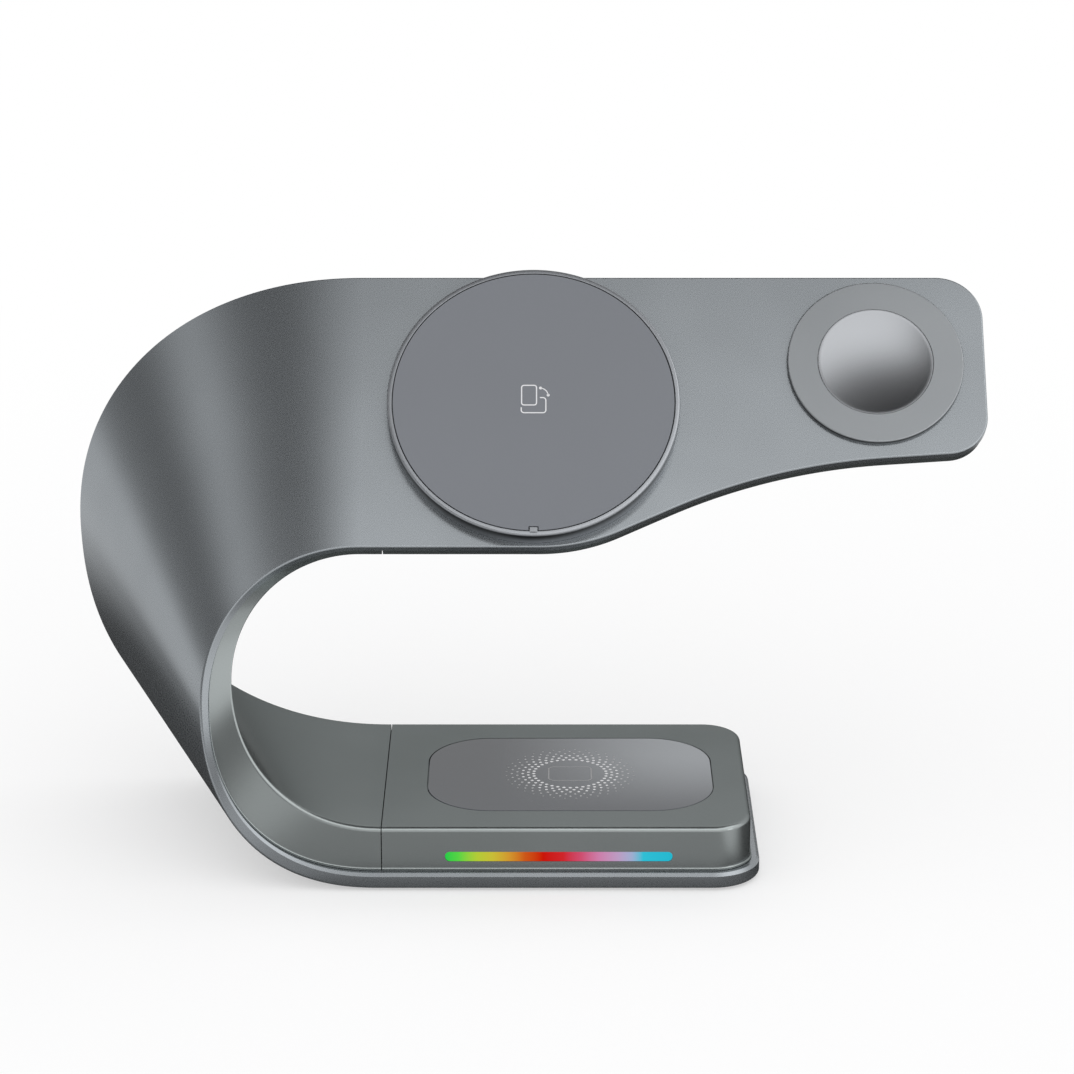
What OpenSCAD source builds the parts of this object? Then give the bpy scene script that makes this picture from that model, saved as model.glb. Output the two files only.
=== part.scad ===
// Three-in-one wireless charging station. One band of constant width runs along the base,
// around a flared bend at the left and back along a leaning arm.
// Millimetres, +Z up, origin at the bottom centre of the whole stand.

/* [Band] */
// Width of the band, from its front edge to its rear edge
band_w = 61; // [57:0.5:66]
// Wall of the outer shell
shell_t = 1.6; // [1.3:0.1:1.8]
// Wall of the inner covers
cover_t = 1.5; // [1.2:0.1:1.8]

/* [Base] */
// Length of the base, from the seam at the bend to its right end
base_l = 76.9; // [72:0.5:90]
// Height of the base top above the underside of the shell
base_h = 12.5; // [11.5:0.5:15]
// Plan radius of the two right corners
base_corner_r = 9.9; // [7:0.1:13]
// How far the lip of the shell stands out beyond the covers
base_lip_reach = 1.95; // [1:0.05:2.4]
// Height of the lip on the base
base_lip_h = 3.2; // [2.6:0.1:4]
// Rounding of the shell's bottom edge
base_edge_r = 0.6; // [0.4:0.1:2]
// Chamfer on top of the lip
base_chamfer = 0.6; // [0.2:0.1:0.8]
// Hollow curve at the foot of the cover's walls, above the lip
base_cove_r = 1.15; // [0.3:0.05:1.2]
// Rounding of the covers' top edge
top_edge_r = 1.0; // [0.5:0.1:1.2]

/* [Bend] */
// How far the front edge of the shell swings out to the left
front_reach = 34.2; // [28:0.5:42]
// How far the rear edge of the shell swings out to the left
rear_reach = 63.6; // [50:0.5:72]
// The same for the front edge of the inner cover
inner_front_reach = 27.8; // [22:0.5:28]
// The same for the rear edge of the inner cover
inner_rear_reach = 54.5; // [42:0.5:55]
// Squareness of the front edge's lower half, where 2 is a true ellipse
front_low_power = 2.4; // [2:0.05:2.6]
// Squareness of the front edge's upper half
front_high_power = 2.03; // [2:0.01:2.3]
// Squareness of the rear edge's lower half
rear_low_power = 2.3; // [2:0.05:2.6]
// Squareness of the rear edge's upper half
rear_high_power = 2.12; // [2:0.02:2.4]
// Squareness of the inner cover's lower half
inner_low_power = 2.15; // [2:0.05:2.3]
// Squareness of the inner cover's upper half
inner_high_power = 2.0; // [1.9:0.05:2.1]
// Distance left of the seam at which the arm runs straight
arm_joint = 4.5; // [2:0.5:8]

/* [Arm] */
// Angle of the arm's face, up from level
arm_pitch = 48.5; // [42:0.5:58]
// Setback of the arm's lower front edge behind the base's front edge
arm_y = 22.2; // [16:0.5:28]
// Height of the arm's lower front edge
arm_z = 65.3; // [58:0.5:76]
// Length of the arm, from the seam to its right end
arm_l = 124; // [118:0.5:134]
// Thickness of the arm
arm_t = 5; // [4.8:0.1:6]
// How far the shell's rim stands out beyond the arm's back cover
arm_lip_reach = 0.4; // [0.2:0.1:1]
// Height of the shell's rim on the arm
arm_lip_h = 2.0; // [1.9:0.1:2.4]
// Rounding of the arm's front edge
arm_edge_r = 1.0; // [0.5:0.1:1.3]
// Place along the arm where its lower edge starts to rise
knee_x = 32.1; // [26:0.5:36]
// Radius of the outward curve there
knee_r = 38.7; // [30:0.5:44]
// Steepest slope of the rising edge
wave_tilt = 25; // [22:0.5:28]
// Radius of the inward curve that follows
waist_r = 124; // [100:1:130]
// Slope that is left of it at the tip
tip_tilt = 4; // [2:0.5:6]
// Width of the arm at its tip
tip_w = 40.3; // [39:0.5:44]
// Radius of the tip's lower corner
tip_low_r = 8.5; // [6:0.5:11]
// Radius of the tip's upper corner
tip_high_r = 9.5; // [6:0.5:12]

/* [Phone puck] */
// Radius of the puck
puck_r = 30; // [28:0.5:30.5]
// Height of the puck above the arm
puck_h = 3.9; // [3.7:0.1:5]
// Place of its centre along the arm
puck_x = 30.8; // [28:0.5:34]
// Height of its centre up the arm's face
puck_v = 30.9; // [29:0.1:33]
// Width of the rim around the face sheet
puck_rim = 1.0; // [0.7:0.1:1.6]
// Thickness of the face sheet
face_t = 0.8; // [0.5:0.1:1]
// Inner radius of the ring of magnets
magnet_r = 23.1; // [22:0.1:24]
// Width of the ring of magnets
magnet_w = 4.4; // [3:0.1:4.5]
// Number of places on the ring, one of which stays free for the leads
magnet_places = 18; // [12:1:24]

/* [Watch puck] */
// Radius of the watch puck
watch_r = 18.2; // [17:0.1:19]
// Height of the watch puck above the arm
watch_h = 1.2; // [1:0.1:2]
// Place of its centre along the arm
watch_x = 101.3; // [98:0.5:104]
// Height of its centre up the arm's face
watch_v = 41; // [40:0.5:42]
// Radius of the metal dish
dish_r = 11.9; // [10:0.1:12.5]
// Depth of the dish below its rim
dish_depth = 0.9; // [0.4:0.1:1.1]

/* [Earbud pad] */
// Length of the pad
pad_l = 59; // [50:0.5:60]
// Width of the pad
pad_w = 39.3; // [34:0.1:42]
// Corner radius of the pad
pad_r = 13; // [6:0.5:16]
// Thickness of the pad
pad_t = 0.8; // [0.5:0.1:0.9]
// Place of its centre along the base
pad_x = 38.4; // [37:0.1:40]

/* [Light bar] */
// Length of the light bar
bar_l = 45.9; // [36:0.5:48]
// Height of the light bar
bar_h = 2; // [1.5:0.1:2.4]
// Place of its centre along the base
bar_x = 35.9; // [33:0.5:38]
// Height of its centre on the front wall
bar_z = 6.2; // [6:0.1:7]
// Number of lamps behind it
lamp_count = 8; // [4:1:10]

/* [Inside] */
// Thickness of the circuit boards in the base
board_t = 1.2; // [1:0.1:1.4]
// Thickness of the circuit board in the arm
thin_board_t = 0.9; // [0.6:0.1:1]
// Thickness of the steel weight
ballast_t = 2.4; // [1.6:0.1:2.6]
// Width of the flat ribbon lead in the bend
ribbon_w = 7; // [5:0.5:8]
// Radius of the coil under the earbud pad
earbud_coil_r = 17; // [14:0.5:18]
// Radius of a rubber foot
foot_r = 4.5; // [3:0.1:5]
// How far the feet hold the shell above the table
foot_stand = 0.5; // [0.3:0.1:1]

/* [Fits] */
// Open line between two covers, and round a part let into another
seam_gap = 0.2; // [0.1:0.05:0.3]
// Hair of play under the covers' walls and under the ribbon lead
play = 0.05; // [0.02:0.01:0.1]
// Shadow groove above the lip
groove = 0.25; // [0.15:0.05:0.5]
// Slip clearance round screws, bosses and barrels
slip = 0.15; // [0.1:0.05:0.25]

/* [Hidden] */
$fn = 64;

// Steps in the curved forms
bend_steps = 28;
edge_steps = 3;
cove_steps = 3;
width_steps = 6;
corner_steps = 9;
knee_steps = 5;
waist_steps = 7;

// Overlap of the cutting tools past the faces that they cut
cut = 1;
// Flat that is left at the end of a slot's half round
end_flat = 0.1;
// Tail of a tray that is cut off square where the bend takes over
tail = 12;
// Small chamfer and hollow curve in the same places on the arm
arm_chamfer = 0.2;
arm_cove = 0.1;
// Upright edge under the hollow curve, and the least of the lip that stays open before it
cove_land = 0.15;
lip_ledge = 0.7;
base_cove = min(base_cove_r, base_lip_reach - lip_ledge);
// How much wider the shell's rim is than the cover's wall that stands on it
rim_spare = 0.2;

// Direction up the arm's face, and out of it
up_arm = [0, cos(arm_pitch), sin(arm_pitch)];
out_arm = [0, -sin(arm_pitch), cos(arm_pitch)];
arm_low = [-arm_joint, arm_y, arm_z];

// Room inside the arm, between the shell's wall and the back cover
arm_room = arm_t - shell_t - cover_t;
base_ceiling = base_h - cover_t;
wall_in = base_lip_reach + cover_t;

// Bottom centre of the whole stand, in the frame that starts at the seam and the front edge
left_x = -arm_joint / 2 - rear_reach;
back_y = arm_y + (band_w - arm_lip_reach) * up_arm[1] - arm_t * out_arm[1];
centre = [(left_x + arm_l) / 2, back_y / 2, -foot_stand];

// Screws through the base, with the bosses that they join
screw_x = [17, 58];
screw_inset = 12;
boss_r = 3.4;
boss_over = 0.4;
boss_top = shell_t + ballast_t + boss_over;
cover_boss_r = 2.8;
screw_head_r = 2.1;
screw_head_h = 1.4;
screw_r = 1.1;
screw_seat = 2.2;
screw_grip = 4.5;
screw_spare = 0.4;
base_screw_places = [for (x = screw_x) for (y = [screw_inset, band_w - screw_inset]) [x, y]];

// Feet
foot_sink = 0.7;
foot_inset = 9.5;
foot_places = [for (x = [foot_inset - 1, base_l - foot_inset])
    for (y = [foot_inset, band_w - foot_inset]) [x, y]];

// Main board on its four posts, at the rear of the base
board_x = 21.5;
board_l = 32;
board_w = 24;
board_y = band_w - wall_in - rim_spare - slip - board_w;
board_lift = 0.2;
board_z = boss_top + board_lift;
post_r = 2;
post_inset = 3;
board_screw_r = 0.85;
board_screw_head = 1.6;
board_screw_head_h = 1;
board_screw_grip = 2;
post_floor = 0.6;
can_r = 2;
can_h = 2.6;
can_inset = 0.5;
post_places = [for (x = [board_x + post_inset, board_x + board_l - post_inset])
    for (y = [board_y + post_inset, board_y + board_w - post_inset]) [x, y]];

// Steel weight
ballast_x = 5;
ballast_y = 8.6;
ballast_end = 6.9;
ballast_rear = 10.5;

// Power socket, an upright-oval receptacle lying on the main board
socket_w = 8.9;
socket_h = 3.25;
socket_l = 7.4;
socket_wall = 0.3;
socket_set = 0.1;
socket_back = 1;
tongue_w = 6.6;
tongue_t = 0.7;
socket_x = board_x + board_l / 2;
socket_y = band_w - base_lip_reach - socket_set - socket_l;
socket_z = board_z + board_t + socket_h / 2;

// Light bar and what lies behind it
bar_flange = 1.0;
bar_flange_t = 1.0;
lamp_t = 0.85;
lamp_w = 3.4;
lamp_h = 2.6;
led_board_t = 0.8;
led_board_y = wall_in + bar_flange_t + lamp_t;
led_board_over = 2.6;
led_board_top = bar_z + led_board_over;

// Earbud coil under the top of the base
earbud_coil_t = 1.0;
earbud_ferrite_t = 0.8;
earbud_ferrite_r = earbud_coil_r + 1;
earbud_core_r = 6;

// Phone puck, measured from the arm's face
puck_floor = 0.8;
face_drop = 0.05;
face_z = puck_h - face_drop - face_t;
face_ledge = 0.8;
puck_edge_r = 0.4;
tab_w = 1.6;
tab_l = 0.9;
magnet_t = 1.8;
magnet_gap = 0.5;
coil_gap = 0.6;
phone_ferrite_r = magnet_r - coil_gap;
coil_edge = 0.7;
phone_core_r = 9.3;
phone_ferrite_t = 0.6;
phone_coil_t = 1.4;
puck_boss_at = 6;
puck_boss_r = 2;
puck_screw_r = 0.7;
puck_screw_head_r = 1.5;
puck_screw_head_h = 0.8;
lead_hole_r = 2.4;
puck_screw_turns = [30, 150, 270];
puck_screw_spare = 0.3;
puck_boss_cap = 0.7;

// Watch puck, measured from the arm's face
watch_flange = 3.2;
barrel_r = watch_r - watch_flange;
dish_rim = 0.3;
dish_floor = 0.1;
dish_seat = dish_depth + dish_floor;
dish_flange = 1.4;
dish_flange_t = 0.5;
watch_edge_r = 0.3;
lead_t = 0.35;
lead_gap = 0.1;
watch_depth = arm_t - cover_t - lead_t - lead_gap;
watch_board_t = 0.7;
watch_ferrite_t = 0.7;
dish_base = watch_h - dish_seat;
watch_coil_t = watch_depth + dish_base - dish_flange_t - watch_ferrite_t - watch_board_t;
watch_core_r = 4.6;
watch_bore_r = dish_r + dish_flange + slip;

// Boards and leads in the arm
arm_board_gap = 1.2;
arm_board_x = puck_x + puck_r + arm_board_gap;
arm_board_l = 20.5;
arm_board_v = 30;
arm_board_w = 26;
ribbon_t = 0.5;
ribbon_v = 37;
lead_w = 5;
lead_in = 5;
ramp_x = 1;
ramp_gap = 0.5;
ramp_shift = 0.3;
chip_gap = 0.1;
chip_t = arm_room - thin_board_t - chip_gap;
plug_l = 4;
plug_t = watch_depth - shell_t - thin_board_t;

// Colours, as the object shows them
graphite = [0.49, 0.51, 0.52];
graphite_dark = [0.42, 0.44, 0.44];
face_grey = [0.50, 0.51, 0.53];
bright_metal = [0.72, 0.74, 0.76];
board_green = [0.10, 0.32, 0.20];
chip_black = [0.12, 0.12, 0.13];
copper = [0.72, 0.45, 0.25];
ferrite_grey = [0.25, 0.24, 0.24];
steel = [0.66, 0.67, 0.69];
rubber_black = [0.10, 0.10, 0.10];
ribbon_amber = [0.80, 0.50, 0.16];

function mix(a, b, k) = a + (b - a) * k;
function flat(lists) = [for (l = lists) for (p = l) p];
function arc(c, r, a0, a1, n) =
    [for (i = [0 : n]) let (a = mix(a0, a1, i / n)) [c[0] + r * cos(a), c[1] + r * sin(a)]];
function reversed(list) = [for (k = [len(list) - 1 : -1 : 0]) list[k]];
function raised(loop, z) = [for (p = loop) [p[0], p[1], z]];

// Plan of the base at a distance d inside the shell's edge
function base_plan(d) = concat(
    [[-tail + d, d]],
    arc([base_l - base_corner_r, base_corner_r], base_corner_r - d, -90, 0, corner_steps),
    arc([base_l - base_corner_r, band_w - base_corner_r], base_corner_r - d, 0, 90, corner_steps),
    [[-tail + d, band_w - d]]
);

// The arm's lower edge rises through a knee, a straight, a waist and a second straight.
// The two straights take the lengths that make it end at the tip's corner.
tip_low = [arm_l - tip_low_r, band_w - tip_w + tip_low_r];
wave_end = [tip_low[0] + tip_low_r * sin(tip_tilt), tip_low[1] - tip_low_r * cos(tip_tilt)];
wave_run = wave_end[0] - knee_x - knee_r * sin(wave_tilt) - waist_r * (sin(wave_tilt) - sin(tip_tilt));
wave_rise = wave_end[1] - knee_r * (1 - cos(wave_tilt)) - waist_r * (cos(tip_tilt) - cos(wave_tilt));
rise_l = (wave_rise * cos(tip_tilt) - wave_run * sin(tip_tilt)) / sin(wave_tilt - tip_tilt);
knee_centre = [knee_x, knee_r];
waist_start = [
    knee_x + knee_r * sin(wave_tilt) + rise_l * cos(wave_tilt),
    knee_r * (1 - cos(wave_tilt)) + rise_l * sin(wave_tilt)
];
waist_centre = waist_start + waist_r * [sin(wave_tilt), -cos(wave_tilt)];

// Plan of the arm's face at a distance d inside the shell's edge
function arm_plan(d) = concat(
    [[-tail + d, band_w - d], [-tail + d, d]],
    arc(knee_centre, knee_r - d, -90, wave_tilt - 90, knee_steps),
    arc(waist_centre, waist_r + d, wave_tilt + 90, tip_tilt + 90, waist_steps),
    arc(tip_low, tip_low_r - d, tip_tilt - 90, 0, corner_steps),
    arc([arm_l - tip_high_r, band_w - tip_high_r], tip_high_r - d, 0, 90, corner_steps)
);

// Distances inside the edge and heights of a shell's section, from its outer face to its room
function shell_profile(reach, lip, edge, chamfer) = concat(
    [for (i = [edge_steps : -1 : 0]) let (a = 90 * i / edge_steps)
        [edge * (1 - cos(a)), edge * (1 - sin(a))]],
    [[0, lip - chamfer], [chamfer, lip],
     [reach + cover_t + rim_spare, lip], [reach + cover_t + rim_spare, shell_t]]
);

// Foot of a cover's wall, from the groove over the lip to the top of its hollow curve
function foot(reach, lip, cove) = concat(
    [[reach - cove + groove, lip + play], [reach - cove + groove, lip + groove],
     [reach - cove, lip + groove]],
    arc([reach - cove, lip + groove + cove_land + cove], cove, -90, 0, cove_steps)
);

// The same for a cover, from its room to its outer face
function cover_profile(reach, lip, cove, height, edge) = concat(
    [[reach + cover_t, height - cover_t], [reach + cover_t, lip + play]],
    foot(reach, lip, cove),
    [for (i = [0 : edge_steps]) let (a = 90 * i / edge_steps)
        [reach + edge * (1 - cos(a)), height - edge * (1 - sin(a))]]
);

// Solid between a stack of closed loops, each with the same number of points
module loft(loops, caps) {
    n = len(loops[0]);
    last = (len(loops) - 1) * n;
    sides = [for (i = [0 : len(loops) - 2]) for (j = [0 : n - 1])
        let (a = i * n + j, b = i * n + (j + 1) % n)
        each [[a, b + n, b], [a, a + n, b + n]]];
    ends = [for (c = caps) each [
        c,
        [for (k = reversed(c)) last + k]
    ]];
    polyhedron(points = flat(loops), faces = concat(sides, ends));
}

module base_loft(profile) {
    loops = [for (p = profile) raised(base_plan(p[0]), p[1])];
    loft(loops, [[for (k = [0 : len(loops[0]) - 1]) k]]);
}

module arm_loft(profile) {
    loops = [for (p = profile) raised(arm_plan(p[0]), p[1])];
    loft(loops, [[for (k = [0 : len(loops[0]) - 1]) k]]);
}

// Frames: the whole stand, the arm's face looking out, and the same looking into the arm
module stand() translate(-centre) children();
module on_arm() translate([0, arm_low[1], arm_low[2]]) rotate([arm_pitch, 0, 0]) children();
module into_arm() on_arm() mirror([0, 0, 1]) children();

// Keeps what lies to the right of a cut square to the band
module right_of(x) {
    difference() {
        children();
        translate([x - 2 * tail, -cut, -cut]) cube([2 * tail, band_w + 2 * cut, base_h + 2 * cut]);
    }
}

// One edge of the bend: from a point on the base to a point on the arm, as a power ellipse
function edge_point(from, to, reach, low, high, turn) =
    let (e = turn < 90 ? low : high,
         s = pow(abs(sin(turn)), 2 / e),
         c = sign(cos(turn)) * pow(abs(cos(turn)), 2 / e))
    (from + to) / 2 - c * (to - from) / 2 - [reach * s, 0, 0];

// The four edges at a turn of the bend: shell front and rear, cover front and rear
function edges(turn) = [
    edge_point([0, 0, 0], arm_low, front_reach, front_low_power, front_high_power, turn),
    edge_point([0, band_w, 0], arm_low + band_w * up_arm,
        rear_reach, rear_low_power, rear_high_power, turn),
    edge_point([0, base_lip_reach, base_h], arm_low + arm_lip_reach * up_arm - arm_t * out_arm,
        inner_front_reach, inner_low_power, inner_high_power, turn),
    edge_point([0, band_w - base_lip_reach, base_h],
        arm_low + (band_w - arm_lip_reach) * up_arm - arm_t * out_arm,
        inner_rear_reach, inner_low_power, inner_high_power, turn)
];

// What varies along the bend: reach of the lip, its height, both roundings, chamfer and cove
function along(turn) = let (k = (1 - cos(turn)) / 2) [
    mix(base_lip_reach, arm_lip_reach, k),
    mix(base_lip_h, arm_lip_h, k * (2 - k)),
    mix(base_edge_r, arm_edge_r, k),
    top_edge_r,
    mix(base_chamfer, arm_chamfer, k),
    mix(base_cove, arm_cove, k)
];

// A place on a section: its inset from the front or the rear edge, or its share of the way
// across, and its depth below the shell's outer face, or below the cover's face
function by_front(inset, depth) = [inset, false, undef, depth, false];
function by_rear(inset, depth) = [inset, true, undef, depth, false];
function by_share(share, depth) = [0, false, share, depth, false];
function off_cover(place) = [place[0], place[1], place[2], place[3], true];

// The points of these places on the bend's section at a turn
function section(turn, reach, places) =
    let (e = edges(turn),
         across = e[1] - e[0],
         w = norm(across),
         inner = (e[3] - e[2]) / norm(e[3] - e[2]),
         cover_front = e[2] - inner * reach,
         cover_rear = e[3] + inner * reach)
    [for (p = places)
        let (inset = p[1] ? w - p[0] : p[0],
             share = is_undef(p[2]) ? inset / w : p[2],
             out = e[0] + across * share,
             through = mix(cover_front, cover_rear, share) - out,
             depth = p[4] ? norm(through) - p[3] : p[3])
        out + through * depth / norm(through)];

// Shares of the way across between two insets
function shares(inset, w) =
    [for (k = [1 : width_steps - 1]) mix(inset / w, 1 - inset / w, k / width_steps)];

function shell_section(turn) =
    let (v = along(turn), e = edges(turn), w = norm(e[1] - e[0]),
         rim = v[0] + cover_t + rim_spare,
         round = [for (i = [0 : edge_steps]) let (t = 90 * i / edge_steps)
             [v[2] * (1 - cos(t)), v[2] * (1 - sin(t))]],
         edge = concat([[rim, v[1]], [v[4], v[1]], [0, v[1] - v[4]]], round, [[rim, 0]]))
    section(turn, v[0], concat(
        [for (p = edge) by_front(p[0], p[1])],
        [for (s = shares(rim, w)) by_share(s, 0)],
        [for (p = reversed(edge)) by_rear(p[0], p[1])],
        [by_rear(rim, shell_t)],
        [for (s = reversed(shares(rim, w))) by_share(s, shell_t)],
        [by_front(rim, shell_t)]
    ));

function cover_section(turn) =
    let (v = along(turn), e = edges(turn), w = norm(e[1] - e[0]),
         wall = v[0] + cover_t,
         low = foot(v[0], v[1], v[5]),
         top = concat(
             [for (i = [0 : edge_steps]) let (t = 90 * i / edge_steps)
                 [v[0] + v[3] * (1 - cos(t)), v[3] * (1 - sin(t))]],
             [[wall, 0]]))
    section(turn, v[0], concat(
        [for (p = low) by_front(p[0], p[1])],
        [for (p = top) off_cover(by_front(p[0], p[1]))],
        [for (s = shares(wall, w)) off_cover(by_share(s, 0))],
        [for (p = reversed(top)) off_cover(by_rear(p[0], p[1]))],
        [for (p = reversed(low)) by_rear(p[0], p[1])],
        [by_rear(wall, v[1] + play), off_cover(by_rear(wall, cover_t))],
        [for (s = reversed(shares(wall, w))) off_cover(by_share(s, cover_t))],
        [off_cover(by_front(wall, cover_t)), by_front(wall, v[1] + play)]
    ));

// End faces of the two sections, split into convex pieces
shell_p = 4 + edge_steps;
shell_q = shell_p + width_steps;
shell_in = shell_q + 5 + edge_steps;
shell_caps = concat(
    [concat([for (k = [3 : shell_p]) k], [shell_in + width_steps, 0, 1, 2])],
    [concat([for (k = [shell_q + 1 + edge_steps : shell_in]) k],
        [for (k = [shell_q : shell_q + edge_steps]) k])],
    [for (k = [0 : width_steps - 1])
        [shell_p + k, shell_p + k + 1, shell_in + width_steps - k - 1, shell_in + width_steps - k]]
);
cove_top = 3 + cove_steps;
cover_p = cove_top + edge_steps + 2;
cover_q = cover_p + width_steps;
rear_top = cover_q + edge_steps + 2;
rear_low = rear_top + cove_steps;
cover_in = rear_low + 5;
room_f = cover_in + width_steps;
cover_caps = concat(
    [concat([for (k = [cove_top + 1 : cover_p]) k], [room_f, room_f + 1, cove_top])],
    [for (k = [4 : cove_top - 1]) [room_f + 1, k, k + 1]],
    [[room_f + 1, 1, 4], [room_f + 1, 0, 1], [1, 2, 3], [1, 3, 4]],
    [concat([for (k = [cover_q + 1 : rear_top]) k], [cover_in - 1, cover_in, cover_q])],
    [for (k = [rear_top : rear_low - 2]) [k, k + 1, cover_in - 1]],
    [[rear_low - 1, rear_low + 2, cover_in - 1], [rear_low - 1, rear_low, rear_low + 2],
     [rear_low, rear_low + 1, rear_low + 2], [rear_low + 2, rear_low + 3, cover_in - 1]],
    [for (k = [0 : width_steps - 1])
        [cover_p + k, cover_p + k + 1, room_f - k - 1, room_f - k]]
);

turns_down = [for (i = [bend_steps : -1 : 0]) 180 * i / bend_steps];
turns_up = [for (i = [0 : bend_steps]) 180 * i / bend_steps];

module bend_shell() loft([for (t = turns_down) shell_section(t)], shell_caps);

// Rounded rectangle of height h, centred
module rounded_plate(l, w, r, h) {
    linear_extrude(h) {
        square([l - 2 * r, w], center = true);
        square([l, w - 2 * r], center = true);
        for (x = [-1, 1]) for (y = [-1, 1])
            translate([x * (l / 2 - r), y * (w / 2 - r)]) circle(r);
    }
}

// Flat ring standing on z = 0
module ring(r_in, r_out, h) {
    difference() {
        cylinder(r = r_out, h = h);
        translate([0, 0, -cut]) cylinder(r = r_in, h = h + 2 * cut);
    }
}

// Pan-head screw: the head's face at z = 0, the shank upwards
module pan_screw(head_r, head_h, shank_r, shank_l) {
    slot_w = head_r * 0.3;
    difference() {
        cylinder(r = head_r, h = head_h);
        for (a = [0, 90]) rotate([0, 0, a])
            translate([-head_r * 0.6, -slot_w / 2, -cut]) cube([head_r * 1.2, slot_w, cut + head_h * 0.5]);
    }
    translate([0, 0, head_h]) cylinder(r = shank_r, h = shank_l);
}

module base_tray() {
    right_of(0) base_loft(shell_profile(base_lip_reach, base_lip_h, base_edge_r, base_chamfer));
    for (p = base_screw_places) translate([p[0], p[1], shell_t / 2])
        cylinder(r = boss_r, h = boss_top - shell_t / 2);
    for (p = post_places) translate([p[0], p[1], shell_t / 2])
        cylinder(r = post_r, h = board_z - shell_t / 2);
}

module base_holes() {
    for (p = base_screw_places) translate([p[0], p[1], -cut]) {
        cylinder(r = screw_head_r + slip, h = cut + screw_seat);
        cylinder(r = screw_r + slip, h = 2 * cut + boss_top);
    }
    for (p = post_places) translate([p[0], p[1], shell_t + post_floor])
        cylinder(r = board_screw_r + play, h = board_z + cut);
    for (p = foot_places) translate([p[0], p[1], -cut]) cylinder(r = foot_r + slip, h = cut + foot_sink);
}

module arm_tray() {
    into_arm() right_of(-arm_joint)
        arm_loft(shell_profile(arm_lip_reach, arm_lip_h, arm_edge_r, arm_chamfer));
}

module arm_holes() {
    into_arm() {
        translate([watch_x, watch_v, -cut]) cylinder(r = barrel_r + slip, h = shell_t + 2 * cut);
        translate([puck_x, puck_v, -cut]) {
            cylinder(r = lead_hole_r, h = shell_t + 2 * cut);
            for (a = puck_screw_turns) rotate([0, 0, a]) translate([puck_boss_at, 0, 0])
                cylinder(r = puck_screw_r + slip, h = shell_t + 2 * cut);
        }
    }
}

module outer_shell() {
    color(graphite) stand() difference() {
        union() {
            base_tray();
            bend_shell();
            arm_tray();
        }
        base_holes();
        arm_holes();
    }
}

module bend_inner_cover() {
    loops = [for (t = turns_up) cover_section(t)];
    stub = [for (p = loops[bend_steps]) p + [arm_joint, 0, 0]];
    color(graphite_dark) stand() loft(concat(loops, [stub]), cover_caps);
}

module base_top_cover() {
    color(graphite_dark) stand() difference() {
        union() {
            right_of(seam_gap)
                base_loft(cover_profile(base_lip_reach, base_lip_h, base_cove, base_h, top_edge_r));
            for (p = base_screw_places) translate([p[0], p[1], boss_top])
                cylinder(r = cover_boss_r, h = base_h - cover_t / 2 - pad_t / 2 - boss_top);
        }
        for (p = base_screw_places) translate([p[0], p[1], boss_top - cut])
            cylinder(r = screw_r + play, h = cut + screw_grip + screw_spare);
        translate([pad_x, band_w / 2, base_h - pad_t])
            rounded_plate(pad_l + 2 * seam_gap, pad_w + 2 * seam_gap, pad_r + seam_gap, pad_t + cut);
        translate([bar_x, wall_in + cut, bar_z]) rotate([90, 0, 0])
            rounded_plate(bar_l + 2 * play, bar_h + 2 * play, bar_h / 2 - end_flat, cover_t + 2 * cut);
        translate([socket_x, band_w - wall_in - cut, socket_z]) rotate([-90, 0, 0])
            rounded_plate(socket_w + 2 * slip, socket_h + 2 * slip,
                socket_h / 2 + slip - end_flat, cover_t + 2 * cut);
    }
}

module arm_back_cover() {
    color(graphite_dark) stand() into_arm() right_of(seam_gap)
        arm_loft(cover_profile(arm_lip_reach, arm_lip_h, arm_cove, arm_t, top_edge_r));
}

module light_bar() {
    color([0.95, 0.95, 0.92]) stand() translate([bar_x, wall_in, bar_z]) rotate([90, 0, 0]) {
        rounded_plate(bar_l, bar_h, bar_h / 2 - end_flat, cover_t);
        translate([0, 0, -bar_flange_t])
            rounded_plate(bar_l + 2 * bar_flange, bar_h + 2 * bar_flange, bar_h / 2, bar_flange_t);
    }
}

module led_board() {
    color(board_green) stand() translate([bar_x - bar_l / 2 - bar_flange, led_board_y, shell_t])
        cube([bar_l + 2 * bar_flange, led_board_t, led_board_top - shell_t]);
}

module bar_lamps() {
    pitch = bar_l / lamp_count;
    color([0.96, 0.94, 0.80]) stand() for (i = [0 : lamp_count - 1])
        translate([bar_x - bar_l / 2 + pitch * (i + 0.5), led_board_y - lamp_t / 2, bar_z])
            cube([lamp_w, lamp_t, lamp_h], center = true);
}

module earbud_pad() {
    color(face_grey) stand() translate([pad_x, band_w / 2, base_h - pad_t])
        rounded_plate(pad_l, pad_w, pad_r, pad_t);
}

module earbud_coil() {
    color(copper) stand() translate([pad_x, band_w / 2, base_ceiling - earbud_coil_t])
        ring(earbud_core_r, earbud_coil_r, earbud_coil_t);
}

module earbud_ferrite() {
    color(ferrite_grey) stand()
        translate([pad_x, band_w / 2, base_ceiling - earbud_coil_t - earbud_ferrite_t])
            cylinder(r = earbud_ferrite_r, h = earbud_ferrite_t);
}

module main_board() {
    color(board_green) stand() difference() {
        translate([board_x, board_y, board_z]) cube([board_l, board_w, board_t]);
        for (p = post_places) translate([p[0], p[1], board_z - cut])
            cylinder(r = board_screw_r + slip, h = board_t + 2 * cut);
    }
}

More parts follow.
